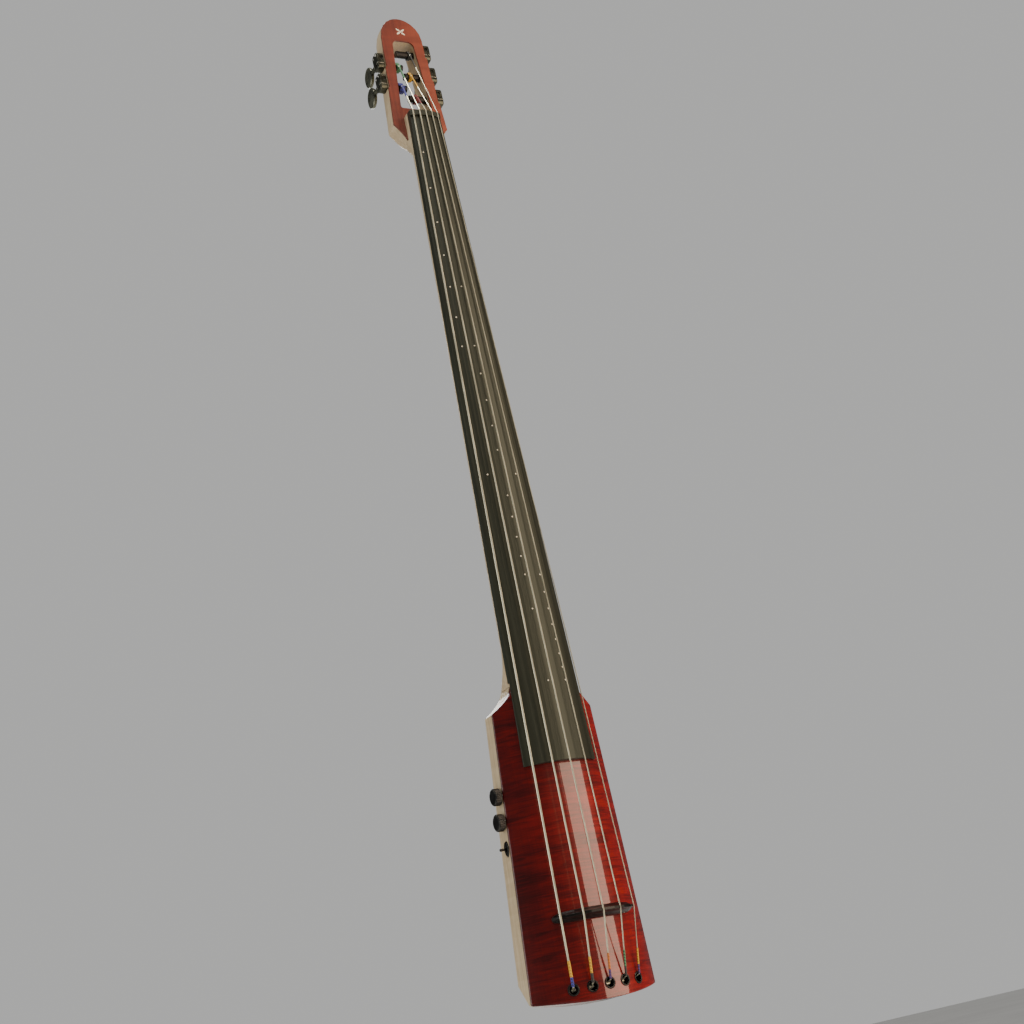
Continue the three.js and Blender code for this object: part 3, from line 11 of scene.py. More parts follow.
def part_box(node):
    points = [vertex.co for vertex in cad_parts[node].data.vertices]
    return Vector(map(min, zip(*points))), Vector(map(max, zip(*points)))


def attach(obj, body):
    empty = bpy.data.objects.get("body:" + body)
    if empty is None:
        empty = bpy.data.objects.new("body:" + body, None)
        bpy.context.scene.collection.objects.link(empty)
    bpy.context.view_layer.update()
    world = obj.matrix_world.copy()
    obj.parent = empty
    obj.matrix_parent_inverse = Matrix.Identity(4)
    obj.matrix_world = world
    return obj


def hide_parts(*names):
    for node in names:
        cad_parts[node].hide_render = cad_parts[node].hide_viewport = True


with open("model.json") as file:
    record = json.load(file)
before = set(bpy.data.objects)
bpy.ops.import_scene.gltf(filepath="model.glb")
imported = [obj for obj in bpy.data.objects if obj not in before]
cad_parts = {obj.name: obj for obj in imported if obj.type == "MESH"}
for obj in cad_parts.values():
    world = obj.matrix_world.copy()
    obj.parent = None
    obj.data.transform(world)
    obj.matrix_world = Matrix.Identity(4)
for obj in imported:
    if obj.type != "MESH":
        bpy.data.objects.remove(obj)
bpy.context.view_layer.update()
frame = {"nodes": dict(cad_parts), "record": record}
nodes = frame["nodes"]

MM = 0.001
BASE = "instrument"
STRINGS = (1, 2, 3, 4, 5)
MIDDLE_STRING = 3

# ---------------------------------------------------------------- places taken from the frame


def middle(node):
    low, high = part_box(node)
    return (low + high) / 2


NUT_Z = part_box("nut")[0].z
BRIDGE_Z = middle("bridge").z
SCALE = NUT_Z - BRIDGE_Z
BOARD_CROWN_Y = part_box("fingerboard")[0].y
BOARD_ARCH = 72 * MM
JOINT_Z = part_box("body_cap")[1].z
BOTTOM_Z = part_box("body_cap")[0].z
CAP_CROWN_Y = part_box("body_cap")[0].y
CAP_ARCH = 100 * MM


def arch(x, radius):
    """How far a circular arch has dropped at x."""
    return radius - math.sqrt(radius * radius - x * x)


def lerp(a, b, part):
    return a + (b - a) * part


# ---------------------------------------------------------------- material building


class Finish:
    """A node material in the making, with object coordinates in metres."""

    def __init__(self, name, roughness, metallic=0.0, coat=0.0, coat_roughness=0.05):
        self.material = bpy.data.materials.new(name)
        self.material.use_nodes = True
        self.tree = self.material.node_tree
        self.shader = self.tree.nodes["Principled BSDF"]
        self.set(self.shader, "Roughness", roughness)
        self.set(self.shader, "Metallic", metallic)
        self.set(self.shader, "Coat Weight", coat)
        self.set(self.shader, "Coat Roughness", coat_roughness)
        self.place = self.node("ShaderNodeTexCoord").outputs["Object"]

    def node(self, kind, **settings):
        made = self.tree.nodes.new(kind)
        for key, value in settings.items():
            setattr(made, key, value)
        return made

    def set(self, node, socket, value):
        if isinstance(value, bpy.types.NodeSocket):
            self.tree.links.new(value, node.inputs[socket])
        else:
            node.inputs[socket].default_value = value

    def stretched(self, x, y, z):
        mapping = self.node("ShaderNodeMapping")
        self.set(mapping, "Vector", self.place)
        self.set(mapping, "Scale", (x, y, z))
        return mapping.outputs["Vector"]

    def noise(self, stretch, detail=3.0, roughness=0.5, distortion=0.0):
        noise = self.node("ShaderNodeTexNoise")
        self.set(noise, "Vector", self.stretched(*stretch))
        self.set(noise, "Scale", 1.0)
        self.set(noise, "Detail", detail)
        self.set(noise, "Roughness", roughness)
        self.set(noise, "Distortion", distortion)
        return noise.outputs["Fac"]

    def along(self, axis):
        split = self.node("ShaderNodeSeparateXYZ")
        self.set(split, 0, self.place)
        return split.outputs[axis]

    def math(self, operation, a, b=0.0):
        made = self.node("ShaderNodeMath", operation=operation)
        self.set(made, 0, a)
        self.set(made, 1, b)
        return made.outputs[0]

    def between(self, value, low, high, out_low=0.0, out_high=1.0):
        made = self.node("ShaderNodeMapRange", interpolation_type="SMOOTHSTEP")
        for socket, given in enumerate((value, low, high, out_low, out_high)):
            self.set(made, socket, given)
        return made.outputs[0]

    def ramp(self, factor, *stops):
        made = self.node("ShaderNodeValToRGB")
        self.set(made, "Fac", factor)
        points = made.color_ramp.elements
        while len(points) < len(stops):
            points.new(0.5)
        for point, (position, colour) in zip(points, stops):
            point.position = position
            point.color = (*colour, 1)
        return made.outputs["Color"]

    def mix(self, factor, a, b, kind="MIX"):
        made = self.node("ShaderNodeMix", data_type="RGBA", blend_type=kind)
        self.set(made, 0, factor)
        self.set(made, 6, a if isinstance(a, bpy.types.NodeSocket) else (*a, 1))
        self.set(made, 7, b if isinstance(b, bpy.types.NodeSocket) else (*b, 1))
        return made.outputs[2]

    def edge_wear(self, radius, low=0.02, high=0.12):
        """1 on sharp edges, 0 on flat stretches."""
        rounded = self.node("ShaderNodeBevel", samples=4)
        self.set(rounded, "Radius", radius)
        geometry = self.node("ShaderNodeNewGeometry")
        dot = self.node("ShaderNodeVectorMath", operation="DOT_PRODUCT")
        self.set(dot, 0, rounded.outputs[0])
        self.set(dot, 1, geometry.outputs["Normal"])
        return self.between(self.math("SUBTRACT", 1.0, dot.outputs["Value"]), low, high)

    def finish(self, colour, roughness=None, height=None, depth=0.0, edge=0.0):
        """Joins the colour, the roughness and a bump of that depth, with edges softened."""
        if not isinstance(colour, bpy.types.NodeSocket):
            colour = (*colour, 1)
        self.set(self.shader, "Base Color", colour)
        if roughness is not None:
            self.set(self.shader, "Roughness", roughness)
        normal = None
        if edge:
            soft = self.node("ShaderNodeBevel", samples=4)
            self.set(soft, "Radius", edge)
            normal = soft.outputs[0]
        if height is not None:
            bump = self.node("ShaderNodeBump")
            self.set(bump, "Height", height)
            self.set(bump, "Distance", depth)
            if normal:
                self.set(bump, "Normal", normal)
            normal = bump.outputs[0]
        if normal:
            self.set(self.shader, "Normal", normal)
            if self.shader.inputs["Coat Weight"].default_value and edge:
                self.set(self.shader, "Coat Normal", soft.outputs[0])
        return self.material


# ---------------------------------------------------------------- finishes


def pale_maple():
    look = Finish("pale_maple", 0.42, coat=0.35, coat_roughness=0.25)
    grain = look.noise((420, 420, 9), detail=4)
    flame = look.noise((14, 14, 95), detail=2, distortion=0.6)
    mottle = look.noise((9, 9, 6), detail=2)
    pores = look.noise((1500, 1500, 60), detail=2)
    wood = look.ramp(grain, (0.3, (0.42, 0.33, 0.205)), (0.7, (0.56, 0.465, 0.31)))
    stripes = look.ramp(flame, (0.4, (0.86, 0.83, 0.78)), (0.62, (1.0, 1.0, 1.0)))
    patches = look.ramp(mottle, (0.35, (0.9, 0.88, 0.84)), (0.7, (1.0, 1.0, 1.0)))
    colour = look.mix(0.7, wood, stripes, "MULTIPLY")
    colour = look.mix(1.0, colour, patches, "MULTIPLY")
    rough = look.between(flame, 0.35, 0.7, 0.46, 0.36)
    return look.finish(colour, rough, look.math("ADD", grain, pores), 0.00006, edge=1.1 * MM)


def red_maple():
    """Figured maple under clear red gloss: flames run across the grain, and painted shade darkens
    it toward the bass side.
    """
    look = Finish("red_flame_maple", 0.5, coat=1.0, coat_roughness=0.035)
    look.set(look.shader, "Specular IOR Level", 0.15)
    broad = look.noise((9, 9, 75), detail=2, distortion=0.8)
    narrow = look.noise((26, 26, 300), detail=3, distortion=1.2)
    grain = look.noise((700, 700, 12), detail=3)
    blotch = look.noise((16, 16, 11), detail=2)
    flame = look.math("ADD", look.math("MULTIPLY", broad, 0.4), look.math("MULTIPLY", narrow, 0.6))
    flame = look.math("ADD", flame, look.math("MULTIPLY", look.math("SUBTRACT", blotch, 0.5), 0.2))
    body = look.ramp(
        flame,
        (0.34, (0.07, 0.0012, 0.001)),
        (0.44, (0.12, 0.002, 0.0015)),
        (0.54, (0.18, 0.0035, 0.002)),
        (0.68, (0.27, 0.007, 0.003)),
    )
    streaks = look.ramp(grain, (0.3, (0.78, 0.7, 0.7)), (0.6, (1.0, 1.0, 1.0)))
    # painted shade: the colour darkens toward the bass side (-X), where the arch turns away from
    # the light
    across = look.along("X")
    shade = look.between(across, -0.075, 0.03, 0.0, 1.0)
    painted_shade_tint = look.mix(shade, (0.34, 0.2, 0.2), (1.0, 1.0, 1.0))
    colour = look.mix(1.0, look.mix(0.7, body, streaks, "MULTIPLY"), painted_shade_tint, "MULTIPLY")
    return look.finish(colour, 0.42, flame, 0.00004, edge=1.6 * MM)


def red_face():
    look = Finish("red_brown_stain", 0.42, coat=0.5, coat_roughness=0.28)
    grain = look.noise((520, 520, 14), detail=4)
    figure = look.noise((16, 16, 70), detail=2, distortion=0.9)
    wood = look.ramp(grain, (0.25, (0.1, 0.014, 0.006)), (0.75, (0.18, 0.028, 0.01)))
    stripes = look.ramp(figure, (0.38, (0.72, 0.66, 0.62)), (0.62, (1.0, 1.0, 1.0)))
    # painted sheen: the face is lighter toward its treble side (+X), where the light falls on it
    side = look.between(look.along("X"), -0.02, 0.035, 0.0, 0.62)
    warm = look.mix(side, wood, (0.24, 0.048, 0.018))
    colour = look.mix(0.75, warm, stripes, "MULTIPLY")
    return look.finish(colour, 0.4, grain, 0.00005, edge=0.8 * MM)


def ebony():
    """Oiled board wood: near black, with fine lengthwise streaks and open pores."""
    look = Finish("ebony", 0.45)
    look.set(look.shader, "Specular IOR Level", 0.34)
    look.set(look.shader, "Specular Tint", (0.86, 1.0, 0.86, 1))
    streak = look.noise((190, 190, 2.2), detail=4, roughness=0.55)
    fine = look.noise((900, 900, 9), detail=3)
    pores = look.noise((2600, 2600, 70), detail=2)
    wide = look.noise((60, 60, 0.9), detail=2)
    colour = look.ramp(
        look.math("ADD", look.math("MULTIPLY", streak, 0.6), look.math("MULTIPLY", wide, 0.4)),
        (0.34, (0.014, 0.015, 0.01)),
        (0.52, (0.019, 0.02, 0.0135)),
        (0.7, (0.027, 0.028, 0.019)),
    )
    marks = look.ramp(pores, (0.28, (0.45, 0.45, 0.45)), (0.42, (1.0, 1.0, 1.0)))
    colour = look.mix(0.8, colour, marks, "MULTIPLY")
    rough = look.between(streak, 0.3, 0.75, 0.4, 0.5)
    height = look.math("ADD", fine, look.math("MULTIPLY", pores, 0.8))
    return look.finish(colour, rough, height, 0.00005, edge=0.5 * MM)


def bridge_black():
    look = Finish("bridge_black", 0.3)
    look.set(look.shader, "Specular IOR Level", 0.25)
    grain = look.noise((60, 900, 900), detail=3)
    colour = look.ramp(grain, (0.3, (0.002, 0.002, 0.002)), (0.7, (0.005, 0.005, 0.004)))
    wear = look.edge_wear(0.6 * MM)
    colour = look.mix(look.math("MULTIPLY", wear, 0.12), colour, (0.05, 0.045, 0.04))
    rough = look.between(grain, 0.3, 0.7, 0.3, 0.38)
    return look.finish(colour, rough, grain, 0.000008, edge=0.9 * MM)


def dark_metal(name, colour, shine, brightness):
    """Blackened metal whose edges have worn to bare bright metal."""
    look = Finish(name, shine, metallic=0.85)
    speckle = look.noise((2400, 2400, 2400), detail=3)
    smear = look.noise((90, 90, 90), detail=3)
    plain = look.mix(look.between(smear, 0.35, 0.7), colour, tuple(1.7 * part for part in colour))
    wear = look.math("MULTIPLY", look.edge_wear(0.5 * MM), look.between(smear, 0.3, 0.6, 0.25, 1.0))
    worn = look.mix(wear, plain, (brightness, brightness * 0.97, brightness * 0.9))
    rough = look.between(smear, 0.3, 0.75, shine - 0.07, shine + 0.1)
    return look.finish(worn, rough, speckle, 0.000015, edge=0.6 * MM)


def bare_steel():
    look = Finish("bare_steel", 0.3, metallic=1.0)
    brush = look.noise((120, 2500, 2500), detail=3)
    smear = look.noise((70, 70, 70), detail=2)
    colour = look.ramp(smear, (0.3, (0.42, 0.42, 0.4)), (0.7, (0.62, 0.62, 0.59)))
    rough = look.between(brush, 0.3, 0.7, 0.22, 0.38)
    return look.finish(colour, rough, brush, 0.00001, edge=0.3 * MM)


def wound_steel():
    """Flat-wound tape: fine turns along the string, a warm steel colour with dull patches."""
    look = Finish("wound_steel", 0.3, metallic=0.6)
    turns = look.node("ShaderNodeTexWave", bands_direction="Z", wave_profile="SIN")
    look.set(turns, "Vector", look.place)
    look.set(turns, "Scale", 420.0)
    look.set(turns, "Distortion", 0.0)
    dull = look.noise((30, 30, 30), detail=3)
    colour = look.ramp(dull, (0.3, (0.42, 0.41, 0.31)), (0.7, (0.56, 0.55, 0.42)))
    rough = look.between(dull, 0.3, 0.7, 0.28, 0.38)
    return look.finish(colour, rough, turns.outputs["Fac"], 0.000008)


def silk(name, colour, painted_groove_shade=(0.02, 0.02, 0.02)):
    """Thread wrapping: fine slanting strands, with painted shade in the grooves between them."""
    look = Finish(name, 0.62)
    look.set(look.shader, "Sheen Weight", 0.1)
    strands = look.node("ShaderNodeTexWave", bands_direction="DIAGONAL", wave_profile="SIN")
    look.set(strands, "Vector", look.place)
    look.set(strands, "Scale", 260.0)
    look.set(strands, "Distortion", 1.5)
    fuzz = look.noise((3000, 3000, 3000), detail=2)
    factor = look.math("MULTIPLY", strands.outputs["Fac"], look.between(fuzz, 0.3, 0.7, 0.6, 1.0))
    # painted shade: the grooves between the strands take the darker colour
    mixed = look.mix(factor, painted_groove_shade, colour)
    return look.finish(mixed, 0.62, strands.outputs["Fac"], 0.00012)


def moulded_black():
    look = Finish("moulded_black", 0.5)
    leather = look.node("ShaderNodeTexVoronoi")
    look.set(leather, "Vector", look.place)
    look.set(leather, "Scale", 900.0)
    smear = look.noise((60, 60, 60), detail=3)
    colour = look.ramp(smear, (0.3, (0.01, 0.01, 0.01)), (0.7, (0.024, 0.024, 0.024)))
    rough = look.between(smear, 0.3, 0.7, 0.42, 0.58)
    return look.finish(colour, rough, leather.outputs["Distance"], 0.00008, edge=0.6 * MM)


def circuit():
    look = Finish("circuit_green", 0.45, coat=0.3)
    tracks = look.noise((300, 300, 300), detail=0)
    colour = look.ramp(tracks, (0.48, (0.01, 0.09, 0.035)), (0.52, (0.02, 0.15, 0.06)))
    return look.finish(colour)


def brass():
    look = Finish("piezo_brass", 0.32, metallic=1.0)
    tarnish = look.noise((200, 200, 200), detail=3)
    colour = look.ramp(tarnish, (0.3, (0.35, 0.22, 0.06)), (0.7, (0.6, 0.42, 0.14)))
    return look.finish(colour)


def dot_white():
    look = Finish("dot_white", 0.3, coat=0.3)
    cloud = look.noise((800, 800, 800), detail=2)
    return look.finish(look.ramp(cloud, (0.3, (0.6, 0.54, 0.4)), (0.7, (0.78, 0.74, 0.6))))


FINISHES = {
    "maple": pale_maple(),
    "red_maple": red_maple(),
    "red_face": red_face(),
    "ebony": ebony(),
    "black_metal": dark_metal("black_metal", (0.012, 0.012, 0.012), 0.36, 0.2),
    "steel": bare_steel(),
    "string_steel": wound_steel(),
    "black_plastic": moulded_black(),
    "circuit_green": circuit(),
    "piezo_brass": brass(),
}
GUNMETAL = dark_metal("gunmetal", (0.05, 0.053, 0.038), 0.34, 0.3)
PEARL_GREY = dark_metal("key_metal", (0.13, 0.135, 0.1), 0.28, 0.5)
BRIDGE_BLACK = bridge_black()
DOT_WHITE = dot_white()
SILKS = {
    "blue": silk("silk_blue", (0.03, 0.04, 0.5)),
    "purple": silk("silk_purple", (0.12, 0.04, 0.3)),
    "green": silk("silk_green", (0.08, 0.4, 0.16)),
    "red": silk("silk_red", (0.42, 0.012, 0.012)),
    "yellow": silk("silk_yellow", (0.72, 0.44, 0.02), (0.4, 0.2, 0.01)),
    "orange": silk("silk_orange", (0.62, 0.2, 0.02), (0.3, 0.08, 0.01)),
    "dark": silk("silk_dark", (0.03, 0.035, 0.03)),
}


def paint(obj, material):
    obj.data.materials.clear()
    obj.data.materials.append(material)


def paint_frame():
    """Gives each CAD node its slot's finish; the tuners and the bridge have their own."""
    slots = {part["node"]: part["material_slot"] for part in frame["record"]["subparts"]}
    for name, obj in nodes.items():
        material = FINISHES[slots[name]]
        if name.startswith("tuner_housing"):
            material = GUNMETAL
        elif name.startswith("tuner_key"):
            material = PEARL_GREY
        elif name == "bridge":
            material = BRIDGE_BLACK
        paint(obj, material)


# ---------------------------------------------------------------- mesh building


def piece(name, mesh_maker, material, body=BASE, smooth_angle=35.0):
    """Makes a named object from a bmesh function, shades it and lets it ride on a body."""
    built = bmesh.new()
    mesh_maker(built)
    bmesh.ops.recalc_face_normals(built, faces=built.faces)
    limit = math.radians(smooth_angle)
    for face in built.faces:
        face.smooth = True
    for edge in built.edges:
        edge.smooth = len(edge.link_faces) == 2 and edge.calc_face_angle() < limit
    mesh = bpy.data.meshes.new(name)
    built.to_mesh(mesh)
    built.free()
    obj = bpy.data.objects.new(name, mesh)
    bpy.context.scene.collection.objects.link(obj)
    mesh.materials.append(material)
    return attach(obj, body)


def skin(built, rings, closed=True, capped=True):
    """Joins rings of points into a surface, with its ends filled."""
    rows = [[built.verts.new(point) for point in ring] for ring in rings]
    count = len(rows[0])
    spans = count if closed else count - 1
    for upper, lower in zip(rows, rows[1:]):
        for i in range(spans):
            built.faces.new((upper[i], upper[(i + 1) % count], lower[(i + 1) % count], lower[i]))
    if capped:
        built.faces.new(rows[0])
        built.faces.new(rows[-1])


def turned(built, profile, place, steps=40):
    """A lathed solid: the profile's (radius, height) pairs turn round the place's own Z axis."""
    rings = []
    for radius, height in profile:
        ring = []
        for i in range(steps):
            turn = 2 * math.pi * i / steps
            point = Vector((radius * math.cos(turn), radius * math.sin(turn), height))
            ring.append(place @ point)
        rings.append(ring)
    skin(built, rings)


def facing(at, direction):
    """A place whose Z axis points in the direction."""
    turn = direction.to_track_quat("Z", "Y" if abs(direction.z) < 0.9 else "X")
    return Matrix.Translation(at) @ turn.to_matrix().to_4x4()


def pipe(built, path, radii, sides=12):
    """A round tube along a path, with a radius at each point."""
    rings = []
    across = None
    for i, point in enumerate(path):
        ahead = path[min(i + 1, len(path) - 1)] - path[max(i - 1, 0)]
        ahead.normalize()
        if across is None:
            across = ahead.orthogonal().normalized()
        across = (across - ahead * across.dot(ahead)).normalized()
        other = ahead.cross(across)
        ring = []
        for k in range(sides):
            turn = 2 * math.pi * k / sides
            out = across * math.cos(turn) + other * math.sin(turn)
            ring.append(point + out * radii[i])
        rings.append(ring)
    skin(built, rings)


# ---------------------------------------------------------------- body cap

SHOULDER_DROP = 31 * MM
JOINT_HALF = 36 * MM
SHOULDER_HALF = 66 * MM
BOTTOM_HALF = 80 * MM
BOTTOM_BOW = 8 * MM
BOTTOM_CORNER = 3 * MM
SHOULDER_CURVE = 1.5
CORNER_PART = 0.8
CAP_FALL = 0.0112
GLUE_FALL = 0.0569
GLUE_DEPTH = 24.7 * MM
GLUE_GAP = 0.15 * MM
CAP_ROUND = 1.2 * MM
LEAST_EDGE = 0.1 * MM
FACE_STEPS = 72
FOOT_DROP = 0.2 * MM
ANCHOR_PITCH = 20.65 * MM
CUP_HOLE_RADIUS = 6.2 * MM
CUP_HOLE_BELOW = 40 * MM
CUP_HOLE_ABOVE = 10 * MM
SHOULDER_Z = JOINT_Z - SHOULDER_DROP
FOOT_Z = BOTTOM_Z - FOOT_DROP
CORNER_Z = FOOT_Z + BOTTOM_BOW + BOTTOM_CORNER


def body_half(z):
    """Half the body's width at a height."""
    if z > SHOULDER_Z:
        return lerp(JOINT_HALF, SHOULDER_HALF, ((JOINT_Z - z) / SHOULDER_DROP) ** SHOULDER_CURVE)
    if z >= CORNER_Z:
        return lerp(SHOULDER_HALF, BOTTOM_HALF, (SHOULDER_Z - z) / (SHOULDER_Z - CORNER_Z))
    bow_half = BOTTOM_HALF - CORNER_PART * BOTTOM_CORNER
    above = z - FOOT_Z
    if above > BOTTOM_BOW:
        into = (CORNER_Z - z) / BOTTOM_CORNER
        return bow_half + CORNER_PART * BOTTOM_CORNER * math.sqrt(max(0.0, 1 - into * into))
    radius = (bow_half**2 + BOTTOM_BOW**2) / (2 * BOTTOM_BOW)
    return math.sqrt(max(0.0, 2 * radius * above - above * above))


def cap_face_y(x, z):
    return CAP_CROWN_Y + CAP_FALL * (JOINT_Z - z) + arch(x, CAP_ARCH)


def cap_ring(z):
    """One section of the cap, with a small round where the face meets the sides."""
    half = body_half(z)
    glue = CAP_CROWN_Y + GLUE_DEPTH + GLUE_FALL * (JOINT_Z - z) - GLUE_GAP
    round_over = min(CAP_ROUND, 0.4 * half)
    ring = []
    for i in range(FACE_STEPS + 1):
        x = lerp(-half + round_over, half - round_over, i / FACE_STEPS)
        ring.append(Vector((x, cap_face_y(x, z), z)))
    edge_y = min(cap_face_y(half, z) + 0.5 * round_over, glue - LEAST_EDGE)
    ring.append(Vector((half - 0.25 * round_over, lerp(ring[-1].y, edge_y, 0.45), z)))
    ring.append(Vector((half, edge_y, z)))
    ring.append(Vector((half, glue, z)))
    ring.append(Vector((-half, glue, z)))
    ring.append(Vector((-half, edge_y, z)))
    ring.append(Vector((-half + 0.25 * round_over, ring[FACE_STEPS + 1].y, z)))
    return ring


def anchor_place(string):
    """The mouth of an anchor's cup, with Z pointing out of the cap."""
    centre = middle(f"string_anchor_{string}")
    x = (string - MIDDLE_STRING) * ANCHOR_PITCH
    tilt = math.asin(x / CAP_ARCH)
    mouth = Vector((x, cap_face_y(x, centre.z), centre.z))
    return facing(mouth, Vector((math.sin(tilt), -math.cos(tilt), 0)))


def add_cap():
    """The arched cap as one skin over its sections, bored for the five anchor cups."""
    heights = [lerp(JOINT_Z, SHOULDER_Z, i / 14) for i in range(14)]
    heights += [lerp(SHOULDER_Z, CORNER_Z, i / 60) for i in range(61)]
    heights += [CORNER_Z - BOTTOM_CORNER * part for part in (0.4, 0.75, 0.95, 1)]
    heights += [FOOT_Z + BOTTOM_BOW * part for part in (0.8, 0.6, 0.42, 0.27, 0.15, 0.07, 0.025)]
    rings = [cap_ring(z) for z in heights]
    cap = piece("arched_cap", lambda built: skin(built, rings), FINISHES["red_maple"])
    holes = bmesh.new()
    for string in STRINGS:
        place = anchor_place(string)
        wall = [(CUP_HOLE_RADIUS, -CUP_HOLE_BELOW), (CUP_HOLE_RADIUS, CUP_HOLE_ABOVE)]
        turned(holes, wall, place, 48)
    bmesh.ops.recalc_face_normals(holes, faces=holes.faces)
    cutter_mesh = bpy.data.meshes.new("cap_holes")
    holes.to_mesh(cutter_mesh)
    holes.free()
    cutter = bpy.data.objects.new("cap_holes", cutter_mesh)
    bpy.context.scene.collection.objects.link(cutter)
    bore = cap.modifiers.new("bore", "BOOLEAN")
    bore.operation = "DIFFERENCE"
    bore.object = cutter
    bpy.context.view_layer.update()
    seen = cap.evaluated_get(bpy.context.evaluated_depsgraph_get())
    cut_mesh = bpy.data.meshes.new_from_object(seen)
    cap.modifiers.clear()
    cap.data = cut_mesh
    bpy.data.objects.remove(cutter)
    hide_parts("body_cap")


# ---------------------------------------------------------------- tail

# (radius, height) in mm: the cup's floor, its wall, over the rim, and down the outside
CUP = [
    (0.4, -11.8),
    (4.2, -11.8),
    (4.6, -11.4),
    (4.6, 0.0),
    (4.75, 0.6),
    (5.1, 0.88),
    (5.6, 0.9),
    (6.2, 0.78),
    (6.5, 0.45),
    (6.6, 0.0),
    (6.5, -0.28),
    (5.7, -0.3),
    (5.6, -14.9),
    (0.4, -15.0),
]


def add_anchors():
    profile = [(radius * MM, height * MM) for radius, height in CUP]
    for string in STRINGS:
        place = anchor_place(string)
        cup = piece(
            f"anchor_cup_{string}",
            lambda built: turned(built, profile, place, 56),
            FINISHES["black_metal"],
        )
        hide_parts(f"string_anchor_{string}")


def string_centre(string, z, reach):
    """Where a string is at a height: the middle of its CAD section near there."""
    points = [v.co for v in nodes[f"string_{string}"].data.vertices if abs(v.co.z - z) < reach]
    low = Vector(min(point[axis] for point in points) for axis in range(3))
    high = Vector(max(point[axis] for point in points) for axis in range(3))
    return (low + high) / 2


TAIL_SILKS = {
    1: ("yellow", "blue"),
    2: ("yellow", "dark"),
    3: ("orange", "purple"),
    4: ("green", "dark"),
    5: ("yellow", "purple"),
}
HEAD_SILKS = {1: "blue", 2: "green", 3: "red", 4: "yellow", 5: "dark"}

# in mm
STRING_RADII = {1: 1.2, 2: 1.05, 3: 0.9, 4: 0.76, 5: 0.64}
TAIL_SILK_LIFT = 1.8
TAIL_SILK_RISE = 4.2
TAIL_SILK_THICK = 0.35

TAIL_SILK_BEGIN = 0.62
TAIL_SILK_CHANGE = 0.86
LOWER_SILK_SWELL = 1.06
SILK_RIPPLE = 0.05
SILK_END = 0.93

POST_WRAP = 5.3 * MM
STEPS_PER_TURN = 28
HEAD_SILK_LENGTH = 26 * MM
HEAD_SILK_THICK = 0.22 * MM


def wrapped(path_start, path_end, radius, steps=48):
    """A thread-wrapped sleeve whose surface ripples with its turns."""

    def make(built):
        path = [path_start.lerp(path_end, i / steps) for i in range(steps + 1)]
        radii = [radius * (1 + SILK_RIPPLE * (i % 2)) for i in range(steps + 1)]
        radii[0] = radii[-1] = radius * SILK_END
        pipe(built, path, radii, 14)

    return make


def add_tail_silks():
    """Two colours of silk on each string, from part way down its tail to its cup's mouth."""
    for string in STRINGS:
        upper, lower = TAIL_SILKS[string]
        bridge_end = string_centre(string, BRIDGE_Z - 1.5 * MM, 0.9 * MM)
        own = STRING_RADII[string]
        cup = anchor_place(string)
        mouth = cup @ Vector((0, 0, (own + TAIL_SILK_LIFT) * MM))
        mouth.z = cup.translation.z + (TAIL_SILK_RISE - own) * MM
        radius = (own + TAIL_SILK_THICK) * MM
        begin = bridge_end.lerp(mouth, TAIL_SILK_BEGIN)
        change = bridge_end.lerp(mouth, TAIL_SILK_CHANGE)
        piece(
            f"tail_silk_upper_{string}",
            wrapped(begin, change, radius),
            SILKS[upper],
        )
        piece(
            f"tail_silk_lower_{string}",
            wrapped(change, mouth, radius * LOWER_SILK_SWELL),
            SILKS[lower],
        )


def add_head_silks():
    """Real wound turns on each post, and the silk on the string's last stretch."""
    for string in STRINGS:
        low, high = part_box(f"string_coil_{string}")
        centre = (low + high) / 2
        wire = STRING_RADII[string] * MM
        around = POST_WRAP + wire
        turns = (high.x - low.x) / (2 * wire)
        count = int(turns * STEPS_PER_TURN)
        start_x, end_x = low.x + wire, high.x - wire
        path = []
        for i in range(count + 1):
            part = i / count
            turn = 2 * math.pi * (turns - 1) * part - math.pi / 2
            x = lerp(start_x, end_x, part)
            offset = Vector((0, math.sin(turn), math.cos(turn))) * around
            path.append(Vector((x, centre.y, centre.z)) + offset)
        wire_radii = [wire * (0.97 - 0.02 * (i % 2)) for i in range(count + 1)]
        material = SILKS[HEAD_SILKS[string]]
        coil = piece(
            f"wound_turns_{string}",
            lambda built: pipe(built, path, wire_radii, 12),
            material,
            body=f"post_{string}",
        )
        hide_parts(f"string_coil_{string}")
        top_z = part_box(f"string_{string}")[1].z
        end = string_centre(string, top_z, 2.5 * MM)
        nut_back = string_centre(string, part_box("nut")[1].z, 1 * MM)
        begin = end.lerp(nut_back, min(1.0, HEAD_SILK_LENGTH / (nut_back - end).length))
        piece(
            f"head_silk_{string}",
            wrapped(begin, end.lerp(nut_back, 0.01), wire + HEAD_SILK_THICK),
            material,
        )


# ---------------------------------------------------------------- board dots and ornament

# each row's x at the nut and how far it has spread at the bridge, in mm, and its semitones
DOT_ROWS = (
    (-14.4, -14.3, (1, 2, 3, 4, 5, 6, 7, 12)),
    (-3.5, 2.1, (5, 7, 8, 9, 10, 11, 13, 14, 15, 16, 17, 19, 24)),
    (4.3, 24.9, (12, 17, 18, 19, 20, 21, 22, 23, 24)),
)
# (radius, height) in mm
DOT = [(0.05, 0.12), (0.55, 0.1), (0.85, 0.03), (1.0, -0.15), (1.0, -0.6), (0.05, -0.6)]


